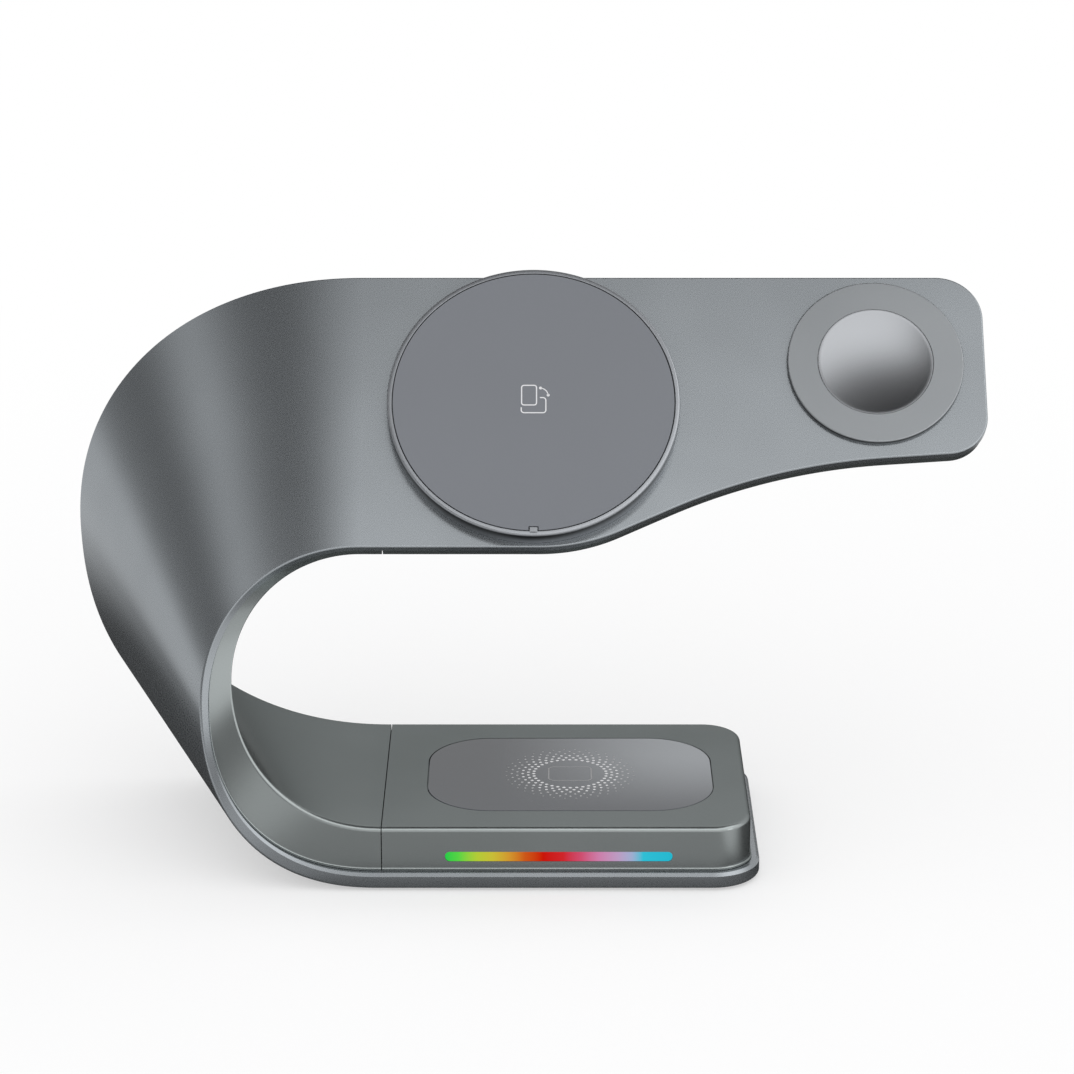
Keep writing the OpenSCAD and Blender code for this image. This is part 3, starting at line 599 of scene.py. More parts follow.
class Solid:
    """A mesh under construction, in millimetres."""

    def __init__(self) -> None:
        """Starts empty."""
        self.mesh = bmesh.new()

    def points(self, loop: Sequence[Point]) -> list[bmesh.types.BMVert]:
        """Adds the points of a loop."""
        return [self.mesh.verts.new(p) for p in loop]

    def skin(
        self, loops: Sequence[Sequence[Point]], closed: bool = True
    ) -> list[list[bmesh.types.BMVert]]:
        """Joins neighbouring loops with faces.

        Args:
            loops: loops of equal numbers of points.
            closed: whether each loop's last point joins its first.

        Returns:
            The vertices of each loop.
        """
        rows = [self.points(loop) for loop in loops]
        count = len(rows[0])
        for low, high in zip(rows, rows[1:]):
            for j in range(count if closed else count - 1):
                k = (j + 1) % count
                self.mesh.faces.new((low[j], low[k], high[k], high[j]))
        return rows

    def cap(self, ring: Sequence[bmesh.types.BMVert]) -> None:
        """Closes a ring of vertices with one face."""
        self.mesh.faces.new(ring)

    def tube(self, loops: Sequence[Sequence[Point]]) -> None:
        """Joins closed loops and closes both ends."""
        rows = self.skin(loops)
        self.cap(rows[0][::-1])
        self.cap(rows[-1])

    def prism(self, outline: Sequence[Point], low: float, high: float) -> None:
        """Adds a straight block between two heights."""
        self.tube([[(*p, z) for p in outline] for z in (low, high)])

    def weld(self, distance: float = 0.0005) -> None:
        """Joins points that lie on each other."""
        bmesh.ops.remove_doubles(self.mesh, verts=self.mesh.verts, dist=distance)

    def fill_holes(self) -> None:
        """Closes every open rim with a face."""
        rims = [e for e in self.mesh.edges if e.is_boundary]
        bmesh.ops.edgeloop_fill(self.mesh, edges=rims)

    def plate(
        self, outline: Sequence[Point], low: float, high: float, bevel: float, steps: int
    ) -> None:
        """Adds a flat plate whose upper edge is rounded.

        Args:
            outline: anticlockwise outline in the plane.
            low: height of its underside.
            high: height of its face.
            bevel: radius of the rounding.
            steps: number of steps in the rounding.
        """
        loops = [[(*p, low) for p in outline]]
        for distance, depth in rounding(bevel, steps):
            loops.append([(*p, high - depth) for p in inset(outline, distance)])
        self.tube(loops)

    def lathe(self, profile: Sequence[Point], steps: int) -> None:
        """Turns a profile round the vertical axis.

        Args:
            profile: radii and heights; radius 0 closes an end.
            steps: number of steps round the axis.
        """
        inner = [p for p in profile if p[0] > ON_AXIS]
        turns = [2 * math.pi * k / steps for k in range(steps)]
        rows = self.skin(
            [[(r * math.cos(t), r * math.sin(t), z) for t in turns] for r, z in inner]
        )
        for end, row in ((profile[0], rows[0]), (profile[-1], rows[-1])):
            if end[0] <= ON_AXIS:
                tip = self.mesh.verts.new((0.0, 0.0, end[1]))
                for k in range(steps):
                    self.mesh.faces.new((row[k], row[(k + 1) % steps], tip))
        if len(inner) == len(profile):
            low, high = rows[0], rows[-1]
            for k in range(steps):
                on = (k + 1) % steps
                self.mesh.faces.new((high[k], high[on], low[on], low[k]))

    def finish(self, name: str, to_row: Matrix, even: bool = False) -> Piece:
        """Turns the mesh into an object in the row's frame.

        Args:
            name: the piece's name.
            to_row: from the mesh's millimetres to the row's metres.
            even: whether its large faces rule the shading at their edges.

        Returns:
            The new object, smooth but for its sharp edges.
        """
        bmesh.ops.recalc_face_normals(self.mesh, faces=self.mesh.faces)
        self.mesh.transform(to_row)
        data = bpy.data.meshes.new(name)
        self.mesh.to_mesh(data)
        self.mesh.free()
        made = bpy.data.objects.new(name, data)
        bpy.context.collection.objects.link(made)
        smooth(made)
        if even:
            even_normals(made)
        return made


def smooth(piece: Piece) -> None:
    """Shades a mesh smooth and keeps its edges sharp."""
    piece.data.shade_smooth()
    piece.data.set_sharp_from_angle(angle=SHARP)


def even_normals(piece: Piece, weight: int = FLAT_WEIGHT) -> None:
    """Lets the large faces rule the shading at their edges.

    Args:
        piece: the piece.
        weight: how strongly they do.
    """
    even = piece.modifiers.new("even_normals", "WEIGHTED_NORMAL")
    even.keep_sharp = True
    even.weight = weight


def cutter(outline: Sequence[Point], low: float, high: float, to_row: Matrix) -> Piece:
    """Makes a straight cutter.

    Args:
        outline: anticlockwise outline in the plane.
        low: height of its lower end.
        high: height of its upper end.
        to_row: from its millimetres to the row's metres.

    Returns:
        The cutter.
    """
    solid = Solid()
    solid.prism(outline, low, high)
    return solid.finish("cutter", to_row)


def carve(piece: Piece, cutters: Sequence[Piece]) -> None:
    """Cuts the cutters out of a piece and removes them.

    Args:
        piece: the piece.
        cutters: what is cut out of it.
    """
    for tool in cutters:
        cut = piece.modifiers.new("cut", "BOOLEAN")
        cut.operation = "DIFFERENCE"
        cut.solver = "EXACT"
        cut.object = tool
    whole = piece.evaluated_get(bpy.context.evaluated_depsgraph_get())
    data = bpy.data.meshes.new_from_object(whole)
    piece.modifiers.clear()
    piece.data = data
    for tool in cutters:
        bpy.data.objects.remove(tool)
    smooth(piece)
    even_normals(piece)


def settle(piece: Piece, slot: Slot, finish: Material, *nodes: str) -> None:
    """Puts a piece on the body, with its finish and the CAD nodes that it stands for.

    Args:
        piece: the piece.
        slot: the name of the slot for its finish, which the log gives.
        finish: its material.
        nodes: CAD nodes that it replaces.
    """
    piece.data.materials.clear()
    piece.data.materials.append(finish)
    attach(piece, WHOLE)
    if nodes:
        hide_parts(*nodes)
    log.info("piece %s in %s", piece.name, slot.value)


@dataclass(frozen=True)
class Place:
    """A place on the bend's section, by its inset or its share of the way across."""

    inset: float = 0.0
    depth: float = 0.0
    share: float | None = None
    rear: bool = False
    off_cover: bool = False


@dataclass(frozen=True)
class Rim:
    """The sizes of the band's rim, where a cover stands in the shell's lip."""

    reach: float
    lip: float
    edge: float
    chamfer: float
    cove: float
    cover_edge: float


@dataclass(frozen=True)
class Band:
    """The band's form: its sizes, and the lines that shell and covers share."""

    width: float = 61.0
    shell_t: float = 1.6
    cover_t: float = 1.5
    base_l: float = 76.9
    base_h: float = 12.5
    base_corner_r: float = 9.9
    base_rim: Rim = Rim(reach=1.95, lip=3.2, edge=0.6, chamfer=0.6, cove=0.35, cover_edge=1.0)
    arm_rim: Rim = Rim(reach=0.4, lip=2.0, edge=0.35, chamfer=0.2, cove=0.1, cover_edge=0.45)
    front_reach: float = 34.2
    rear_reach: float = 63.6
    inner_front_reach: float = 27.8
    inner_rear_reach: float = 54.5
    front_powers: tuple[float, float] = (2.4, 2.03)
    rear_powers: tuple[float, float] = (2.3, 2.12)
    inner_powers: tuple[float, float] = (2.15, 2.0)
    arm_joint: float = 4.5
    arm_pitch: float = 48.5
    arm_y: float = 22.2
    arm_z: float = 65.3
    arm_l: float = 124.0
    arm_t: float = 5.0
    knee_x: float = 32.1
    knee_r: float = 38.7
    wave_tilt: float = 25.0
    waist_r: float = 124.0
    tip_tilt: float = 4.0
    tip_w: float = 40.3
    tip_low_r: float = 8.5
    tip_high_r: float = 9.5
    foot_stand: float = 0.5
    seam_gap: float = 0.2
    play: float = 0.05
    groove: float = 0.14
    slip: float = 0.15
    cove_land: float = 0.15
    rim_spare: float = 0.2
    bend_steps: int = 132
    width_steps: int = 14
    edge_steps: int = 7
    cove_steps: int = 8
    corner_steps: int = 26
    knee_steps: int = 18
    waist_steps: int = 26

    @property
    def up(self) -> Vector:
        """Direction up the arm's face."""
        turn = math.radians(self.arm_pitch)
        return Vector((0.0, math.cos(turn), math.sin(turn)))

    @property
    def out(self) -> Vector:
        """Direction out of the arm's face."""
        turn = math.radians(self.arm_pitch)
        return Vector((0.0, -math.sin(turn), math.cos(turn)))

    @property
    def arm_low(self) -> Vector:
        """Lower left corner of the arm's straight part."""
        return Vector((-self.arm_joint, self.arm_y, self.arm_z))

    def stand(self) -> Matrix:
        """Gives the matrix from the stand's own frame to the row's.

        Returns:
            The matrix, which also turns millimetres into metres.
        """
        left = -self.arm_joint / 2 - self.rear_reach
        high = (self.width - self.arm_rim.reach) * self.up.y
        back = self.arm_y + high - self.arm_t * self.out.y
        centre = Vector(((left + self.arm_l) / 2, back / 2, -self.foot_stand))
        return Matrix.Scale(MM, 4) @ Matrix.Translation(-centre)

    def on_arm(self, x: float = 0.0, v: float = 0.0, z: float = 0.0) -> Matrix:
        """Gives the matrix from a place on the arm's face, looking out, to the row's frame.

        Args:
            x: place along the arm.
            v: place up its face.
            z: height over its face.

        Returns:
            The matrix.
        """
        turn = Matrix.Rotation(math.radians(self.arm_pitch), 4, "X")
        foot = Matrix.Translation((0.0, self.arm_y, self.arm_z))
        return self.stand() @ foot @ turn @ Matrix.Translation((x, v, z))

    def base_plan(self, d: float, start: float) -> Outline:
        """Gives the base's plan.

        Args:
            d: distance inside the shell's edge.
            start: where its left end is.

        Returns:
            Points from front to rear.
        """
        r, far = self.base_corner_r, self.base_l - self.base_corner_r
        return (
            [(start, d)]
            + arc((far, r), r - d, -90, 0, self.corner_steps)
            + arc((far, self.width - r), r - d, 0, 90, self.corner_steps)
            + [(start, self.width - d)]
        )

    def wave(self) -> tuple[Point, Point, Point]:
        """Solves the arm's rising edge.

        Returns:
            The centres of knee and waist, and the centre of the tip's lower corner.
        """
        tilt, end = math.radians(self.wave_tilt), math.radians(self.tip_tilt)
        tip = (self.arm_l - self.tip_low_r, self.width - self.tip_w + self.tip_low_r)
        end_x = tip[0] + self.tip_low_r * math.sin(end)
        end_v = tip[1] - self.tip_low_r * math.cos(end)
        sine, cosine = math.sin(tilt), math.cos(tilt)
        waist_x, waist_v = sine - math.sin(end), math.cos(end) - cosine
        run = end_x - self.knee_x - self.knee_r * sine - self.waist_r * waist_x
        rise = end_v - self.knee_r * (1 - cosine) - self.waist_r * waist_v
        length = (rise * math.cos(end) - run * math.sin(end)) / math.sin(tilt - end)
        x = self.knee_x + self.knee_r * sine + length * cosine
        v = self.knee_r * (1 - cosine) + length * sine
        waist = (x + self.waist_r * sine, v - self.waist_r * cosine)
        return (self.knee_x, self.knee_r), waist, tip

    def arm_plan(self, d: float, start: float) -> Outline:
        """Gives the arm's plan.

        Args:
            d: distance inside the shell's edge.
            start: where its left end is.

        Returns:
            Points from low to high.
        """
        knee, waist, tip = self.wave()
        tilt, end = self.wave_tilt, self.tip_tilt
        high = (self.arm_l - self.tip_high_r, self.width - self.tip_high_r)
        return (
            [(start, d)]
            + arc(knee, self.knee_r - d, -90, tilt - 90, self.knee_steps)
            + arc(waist, self.waist_r + d, tilt + 90, end + 90, self.waist_steps)
            + arc(tip, self.tip_low_r - d, end - 90, 0, self.corner_steps)
            + arc(high, self.tip_high_r - d, 0, 90, self.corner_steps)
            + [(start, self.width - d)]
        )

    def edge_round(self, radius: float) -> Outline:
        """Gives insets and depths round one of the band's edges."""
        return rounding(radius, self.edge_steps)

    def shell_profile(self, rim: Rim) -> Outline:
        """Gives the section of the shell's wall.

        Args:
            rim: the rim's sizes.

        Returns:
            Insets and heights, from its outer face to its room.
        """
        room = rim.reach + self.cover_t + self.rim_spare
        return self.edge_round(rim.edge)[::-1] + [
            (0.0, rim.lip - rim.chamfer),
            (rim.chamfer, rim.lip),
            (room, rim.lip),
            (room, self.shell_t),
        ]

    def foot(self, rim: Rim) -> Outline:
        """Gives the foot of a cover's wall.

        Args:
            rim: the rim's sizes.

        Returns:
            Insets and heights, from the groove over the lip up the wall's hollow curve.
        """
        out, low = rim.reach - rim.cove, rim.lip + self.groove
        start = [(out + self.groove, rim.lip + self.play), (out + self.groove, low), (out, low)]
        centre = (out, low + self.cove_land + rim.cove)
        return start + arc(centre, rim.cove, -90, 0, self.cove_steps)

    def cover_profile(self, rim: Rim, height: float) -> Outline:
        """Gives the section of a cover's wall.

        Args:
            rim: the rim's sizes.
            height: height of the cover's face.

        Returns:
            Insets and heights, from its room to its outer face.
        """
        wall = rim.reach + self.cover_t
        start = [(wall, height - self.cover_t), (wall, rim.lip + self.play)]
        top = [(rim.reach + a, height - b) for a, b in self.edge_round(rim.cover_edge)]
        return start + self.foot(rim) + top

    def edge_point(
        self, start: Vector, end: Vector, reach: float, powers: tuple[float, float], turn: float
    ) -> Vector:
        """Gives a point of one edge of the bend, which runs as a power ellipse from base to arm.

        Args:
            start: where the edge leaves the base.
            end: where it meets the arm.
            reach: how far it reaches to the left.
            powers: the ellipse's powers in its lower and its upper half.
            turn: the turn, from 0 at the base to 180 degrees at the arm.

        Returns:
            The point.
        """
        power = powers[0] if turn < 90 else powers[1]
        sine, cosine = math.sin(math.radians(turn)), math.cos(math.radians(turn))
        s = abs(sine) ** (2 / power)
        c = math.copysign(abs(cosine) ** (2 / power), cosine)
        return (start + end) / 2 - c * (end - start) / 2 - Vector((reach * s, 0.0, 0.0))

    def edges(self, turn: float) -> list[Vector]:
        """Gives the points of the bend's four edges at a turn.

        Args:
            turn: the turn, in degrees.

        Returns:
            The shell's front and rear edge, and the cover's.
        """
        low, up, inner, flush = self.arm_low, self.up, self.arm_t * self.out, Vector()
        at_base, at_arm = self.base_rim.reach, self.arm_rim.reach
        return [
            self.edge_point(Vector((0.0, y, z)), low + v * up - lift, reach, powers, turn)
            for y, z, v, lift, reach, powers in (
                (0.0, 0.0, 0.0, flush, self.front_reach, self.front_powers),
                (self.width, 0.0, self.width, flush, self.rear_reach, self.rear_powers),
                (at_base, self.base_h, at_arm, inner, self.inner_front_reach, self.inner_powers),
                (
                    self.width - at_base, self.base_h, self.width - at_arm, inner,
                    self.inner_rear_reach, self.inner_powers,
                ),
            )
        ]

    def rim(self, turn: float) -> Rim:
        """Gives the rim's sizes at a turn of the bend, as they change from base to arm.

        Args:
            turn: the turn, in degrees.

        Returns:
            The sizes.
        """
        share = (1 - math.cos(math.radians(turn))) / 2
        shares = {"lip": share * (2 - share)}
        base, arm = asdict(self.base_rim), asdict(self.arm_rim)
        return Rim(**{name: mix(base[name], arm[name], shares.get(name, share)) for name in base})

    def section(self, turn: float, places: Sequence[Place]) -> Loop:
        """Gives points of the bend's section.

        Args:
            turn: the turn of the bend, in degrees.
            places: where on the section they are.

        Returns:
            A point for each place.
        """
        reach = self.rim(turn).reach
        front, rear, in_front, in_rear = self.edges(turn)
        across = rear - front
        w = across.length
        inner = (in_rear - in_front).normalized()
        in_front, in_rear = in_front - inner * reach, in_rear + inner * reach
        points = []
        for place in places:
            share = place.share
            if share is None:
                share = (w - place.inset if place.rear else place.inset) / w
            outside = front + across * share
            through = in_front.lerp(in_rear, share) - outside
            depth = through.length - place.depth if place.off_cover else place.depth
            points.append(outside + through * (depth / through.length))
        return points

    def shares(self, edge: float, turn: float) -> list[float]:
        """Gives shares of the way across the bend, between its rounded or stepped edges.

        Args:
            edge: how far inside the shell's edges they start and end.
            turn: the turn of the bend, in degrees.

        Returns:
            The shares, from front to rear.
        """
        front, rear = self.edges(turn)[:2]
        start = edge / (rear - front).length
        return [mix(start, 1 - start, k / self.width_steps) for k in range(1, self.width_steps)]

    def shell_section(self, turn: float) -> Loop:
        """Gives the shell's section at a turn of the bend.

        Args:
            turn: the turn, in degrees.

        Returns:
            The closed section.
        """
        rim = self.rim(turn)
        room = rim.reach + self.cover_t + self.rim_spare
        side = [(room, rim.lip), (rim.chamfer, rim.lip), (0.0, rim.lip - rim.chamfer)]
        side += self.edge_round(rim.edge)
        return self.section(
            turn,
            [Place(a, b) for a, b in side]
            + [Place(share=s) for s in self.shares(rim.edge, turn)]
            + [Place(a, b, rear=True) for a, b in side[::-1]]
            + [Place(room, self.shell_t, rear=True)]
            + [Place(depth=self.shell_t, share=s) for s in self.shares(room, turn)[::-1]]
            + [Place(room, self.shell_t)],
        )

    def cover_section(self, turn: float) -> Loop:
        """Gives the bend cover's section at a turn of the bend.

        Args:
            turn: the turn, in degrees.

        Returns:
            The closed section.
        """
        rim = self.rim(turn)
        wall = rim.reach + self.cover_t
        low = self.foot(rim)
        top = [(rim.reach + a, b) for a, b in self.edge_round(rim.cover_edge)]
        face = self.shares(rim.reach + rim.cover_edge, turn)
        room = self.shares(wall, turn)
        return self.section(
            turn,
            [Place(a, b) for a, b in low]
            + [Place(a, b, off_cover=True) for a, b in top]
            + [Place(share=s, off_cover=True) for s in face]
            + [Place(a, b, rear=True, off_cover=True) for a, b in top[::-1]]
            + [Place(a, b, rear=True) for a, b in low[::-1]]
            + [Place(wall, rim.lip + self.play, rear=True)]
            + [Place(wall, self.cover_t, rear=True, off_cover=True)]
            + [Place(depth=self.cover_t, share=s, off_cover=True) for s in room[::-1]]
            + [Place(wall, self.cover_t, off_cover=True)]
            + [Place(wall, rim.lip + self.play)],
        )

    def turns(self) -> list[float]:
        """Gives the turns at which the bend's sections stand."""
        return [180 * i / self.bend_steps for i in range(self.bend_steps + 1)]

    def cover_tray(
        self, plan: Callable[[float, float], Outline], profile: Sequence[Point]
    ) -> Solid:
        """Builds a cover that is open at its left end, a seam's width beside the bend's.

        Args:
            plan: the plan at an inset, from a left end.
            profile: insets and heights from the room to the outer face.

        Returns:
            The closed solid.
        """
        solid = Solid()
        rows = solid.skin(
            [[(*p, z) for p in plan(d, self.seam_gap)] for d, z in profile], closed=False
        )
        solid.cap(rows[0][::-1])
        solid.cap(rows[-1])
        solid.cap([r[0] for r in rows] + [r[-1] for r in rows[::-1]])
        return solid


BAND = Band()


@dataclass
class OuterShell:
    """The one-piece outer shell: base tray, flared bend and arm tray."""

    watch: WatchPuck
    screw_x: tuple[float, float] = (17.0, 58.0)
    screw_inset: float = 12.0
    screw_head_r: float = 2.1
    screw_post: float = 0.4
    foot_inset: float = 9.5
    foot_shift: float = 1.0
    foot_r: float = 4.5
    foot_sink: float = 0.7
    cut_past: float = 1.0
    bore_cut: float = 4.0
    screw_steps: int = 40
    foot_steps: int = 64
    bore_steps: int = 96

    def build(self) -> Piece:
        """Builds the shell.

        Returns:
            The piece.
        """
        solid = Solid()
        base, arm = BAND.shell_profile(BAND.base_rim), BAND.shell_profile(BAND.arm_rim)
        solid.skin([[(*p, z) for p in BAND.base_plan(d, 0.0)] for d, z in base], closed=False)
        solid.skin([self.arm_row(d, z) for d, z in arm], closed=False)
        solid.skin([BAND.shell_section(t) for t in BAND.turns()])
        solid.weld()
        solid.fill_holes()
        shell = solid.finish("outer_shell_skin", BAND.stand())
        carve(shell, self.cutters())
        return shell

    def arm_row(self, inside: float, depth: float) -> Loop:
        """Gives the arm's plan in the stand's frame.

        Args:
            inside: distance inside the shell's edge.
            depth: depth under the arm's face.

        Returns:
            Points from low to high.
        """
        origin = Vector((0.0, BAND.arm_y, BAND.arm_z))
        plan = BAND.arm_plan(inside, -BAND.arm_joint)
        return [origin + Vector((x, 0, 0)) + v * BAND.up - depth * BAND.out for x, v in plan]

    def cutters(self) -> list[Piece]:
        """Makes the cutters of the screw seats, the foot seats and the watch puck's bore.

        Returns:
            The cutters.
        """
        post = BAND.shell_t + self.screw_post
        foot_x = (self.foot_inset - self.foot_shift, BAND.base_l - self.foot_inset)
        seats = (
            (self.screw_x, self.screw_inset, self.screw_head_r, self.screw_steps, post),
            (foot_x, self.foot_inset, self.foot_r, self.foot_steps, self.foot_sink),
        )
        made = [
            cutter(circle(radius + BAND.slip, steps, (x, y)), -self.cut_past, depth, BAND.stand())
            for row, edge, radius, steps, depth in seats
            for x in row
            for y in (edge, BAND.width - edge)
        ]
        bore = circle(self.watch.barrel + BAND.slip, self.bore_steps)
        made.append(cutter(bore, -self.bore_cut, self.cut_past, self.watch.place()))
        return made

    def dress(self, shell: Piece, paint: Material) -> None:
        """Gives the shell its paint."""
        settle(shell, Slot.SHELL, paint, "outer_shell")


@dataclass
class Covers:
    """The three inner covers: of the bend, of the base's top and of the arm's rear."""

    pad: EarbudPad
    bar: LightBar
    socket_x: float = 37.5
    socket_z: float = 7.425
    socket_w: float = 8.9
    socket_h: float = 3.25
    cut_past: float = 2.0
    cut_in: float = 6.0

    def bend(self) -> Piece:
        """Builds the lining of the bend.

        Returns:
            The piece.
        """
        solid = Solid()
        loops = [BAND.cover_section(t) for t in BAND.turns()]
        loops.append([p + Vector((BAND.arm_joint, 0, 0)) for p in loops[-1]])
        solid.tube(loops)
        return solid.finish("bend_lining", BAND.stand(), even=True)

    def top(self) -> Piece:
        """Builds the base's top.

        Returns:
            The piece, with the pad's recess and the openings of light bar and socket.
        """
        solid = BAND.cover_tray(BAND.base_plan, BAND.cover_profile(BAND.base_rim, BAND.base_h))
        cover = solid.finish("base_top_skin", BAND.stand())
        pad, bar, gap, play, slip = self.pad, self.bar, BAND.seam_gap, BAND.play, BAND.slip
        recess = rounded_box(pad.length + 2 * gap, pad.width + 2 * gap, pad.corner + gap)
        slot = rounded_box(bar.length + 2 * play, bar.height + 2 * play, bar.height / 2, steps=10)
        mouth = rounded_box(
            self.socket_w + 2 * slip, self.socket_h + 2 * slip, self.socket_h / 2, steps=12
        )
        rear = Matrix.Translation((self.socket_x, BAND.width, self.socket_z)) @ UPRIGHT
        carve(
            cover,
            [
                cutter(recess, -pad.thick, self.cut_past, pad.place(BAND.base_h)),
                cutter(slot, -self.cut_in, self.cut_past, bar.place(0.0)),
                cutter(mouth, -self.cut_past, self.cut_in, BAND.stand() @ rear),
            ],
        )
        return cover

    def back(self) -> Piece:
        """Builds the arm's rear face.

        Returns:
            The piece.
        """
        profile = BAND.cover_profile(BAND.arm_rim, BAND.arm_t)
        solid = BAND.cover_tray(BAND.arm_plan, [(d, -z) for d, z in profile])
        return solid.finish("arm_back_skin", BAND.on_arm(), even=True)

    def build(self) -> list[tuple[Piece, str]]:
        """Builds the covers.

        Returns:
            Each cover with the CAD node that it stands for.
        """
        return [
            (self.bend(), "bend_inner_cover"),
            (self.top(), "base_top_cover"),
            (self.back(), "arm_back_cover"),
        ]

    def dress(self, covers: Sequence[tuple[Piece, str]], paint: Material) -> None:
        """Gives the covers their paint."""
        for cover, node in covers:
            settle(cover, Slot.COVER, paint, node)


def stroke(
    solid: Solid, path: Sequence[Point], width: float, height: float, closed: bool = False
) -> None:
    """Adds a thin printed line that lies on z = 0.

    Args:
        solid: what it is added to.
        path: its middle line in the plane.
        width: its width.
        height: how far the ink stands up.
        closed: whether it runs back to its start.
    """
    count = len(path)
    left, right = [], []
    for i, point in enumerate(path):
        here = Vector(point)
        back = Vector(path[i - 1]) if closed or i else here
        on = Vector(path[(i + 1) % count]) if closed or i < count - 1 else here
        way = ((here - back).normalized() + (on - here).normalized()).normalized()
        side = Vector((-way.y, way.x)) * (width / 2)
        left.append(here + side)
        right.append(here - side)
    sides = list(zip(left, right))
    loops = [[(*a, 0.0), (*a, height), (*b, height), (*b, 0.0)] for a, b in sides]
    if closed:
        solid.skin(loops + loops[:1])
        solid.weld(HAIR)
    else:
        solid.tube(loops)


def dot(solid: Solid, centre: Point, radius: float, height: float, steps: int = 14) -> None:
    """Adds a printed dot that lies on z = 0."""
    solid.prism(circle(radius, steps, centre), 0.0, height)


@dataclass
class TurnSign:
    """The puck's sign: a phone upright, the same phone lying, and the way that it turns."""

    line: float = 0.24
    ink: float = 0.012
    upright: tuple[float, float, float] = (3.05, 4.43, 0.5)
    upright_at: Point = (-0.92, 1.18)
    lying_x: tuple[float, float] = (-1.92, 1.91)
    lying_y: tuple[float, float] = (-2.17, 0.03)
    lying_corner: float = 0.6
    lying_start: tuple[float, float] = (-2.52, -1.55)
    lying_end: tuple[float, float] = (1.3, 0.63)
    swing_at: Point = (1.2, 1.0)
    swing_r: float = 1.8
    swing_turns: tuple[float, float] = (83.0, 6.0)
    swing_line: float = 0.85
    dot_r: float = 0.32
    corner_steps: int = 6
    swing_steps: int = 14

    def lying(self) -> Outline:
        """Gives the middle line of the phone that lies, open where the upright one hides it.

        Returns:
            The line's points.
        """
        (left, right), (low, high) = self.lying_x, self.lying_y
        corners = (((left, low), 180), ((right, low), 270), ((right, high), 0))
        path = [self.lying_start]
        for centre, start in corners:
            path += arc(centre, self.lying_corner, start, start + 90, self.corner_steps)
        return path + [self.lying_end]

    def build(self, to_row: Matrix) -> Piece:
        """Builds the sign.

        Args:
            to_row: from the face that it is printed on to the row's frame.

        Returns:
            The piece.
        """
        solid = Solid()
        dx, dy = self.upright_at
        upright = [(x + dx, y + dy) for x, y in rounded_box(*self.upright, self.corner_steps)]
        stroke(solid, upright, self.line, self.ink, closed=True)
        stroke(solid, self.lying(), self.line, self.ink)
        swing = arc(self.swing_at, self.swing_r, *self.swing_turns, self.swing_steps)
        stroke(solid, swing, self.line * self.swing_line, self.ink)
        for end in (swing[0], swing[-1]):
            dot(solid, end, self.dot_r, self.ink)
        return solid.finish("phone_sign", to_row)


@dataclass
class PhonePuck:
    """The large round puck, its face sheet and the sign printed on it."""

    x: float = 30.8
    v: float = 30.9
    radius: float = 30.0
    height: float = 3.9
    rim: float = 1.0
    edge: float = 0.4
    bore_edge: float = 0.08
    foot_edge: float = 0.1
    face_t: float = 0.8
    face_drop: float = 0.05
    face_edge: float = 0.06
    ledge: float = 0.8
    floor: float = 0.8
    tab_w: float = 1.6
    tab_l: float = 0.9
    tab_root: float = 0.5
    tab_sink: float = 0.1
    steps: int = 256

    @property
    def face_z(self) -> float:
        """Height of the ledge that the face sheet lies on."""
        return self.height - self.face_drop - self.face_t

    def place(self, z: float = 0.0) -> Matrix:
        """Gives the matrix from the puck's middle, at a height over the arm, to the row."""
        return BAND.on_arm(self.x, self.v, z)

    def body(self) -> Piece:
        """Builds the puck's body with its ledge and its tab.

        Returns:
            The piece.
        """
        solid = Solid()
        inner, ledge = self.radius - self.rim, self.radius - self.rim - self.ledge
        top = [(self.radius - a, self.height - b) for a, b in rounding(self.edge, RIM_STEPS)]
        profile = [(0.0, 0.0), (self.radius - self.foot_edge, 0.0), (self.radius, self.foot_edge)]
        profile += top + [(inner + self.bore_edge, self.height)]
        profile += [(inner, self.height - self.bore_edge), (inner, self.face_z)]
        profile += [(ledge, self.face_z), (ledge, self.floor), (0.0, self.floor)]
        solid.lathe(profile, self.steps)
        half, root, tip = self.tab_w / 2, self.tab_root - self.radius, self.tab_l - inner
        tab = [(-half, root), (half, root), (half, tip), (-half, tip)]
        solid.plate(tab, self.face_z - self.tab_sink, self.height, self.face_edge, 2)
        return solid.finish("phone_puck_ring", self.place(), even=True)

    def face(self) -> Piece:
        """Builds the sheet in the puck, notched round the tab.

        Returns:
            The piece.
        """
        radius = self.radius - self.rim - BAND.seam_gap
        half = self.tab_w / 2 + BAND.seam_gap
        deep = -(self.radius - self.rim - self.tab_l - BAND.seam_gap)
        gap = math.degrees(math.asin(half / radius))
        ring = arc((0.0, 0.0), radius, -90 + gap, 270 - gap, self.steps)
        outline = ring + [(-half, deep), (half, deep)]
        solid = Solid()
        solid.plate(outline, self.face_z, self.face_z + self.face_t, self.face_edge, 2)
        return solid.finish("phone_puck_sheet", self.place(), even=True)

    def sign(self) -> Piece:
        """Builds the sign on the sheet."""
        return TurnSign().build(self.place(self.face_z + self.face_t))


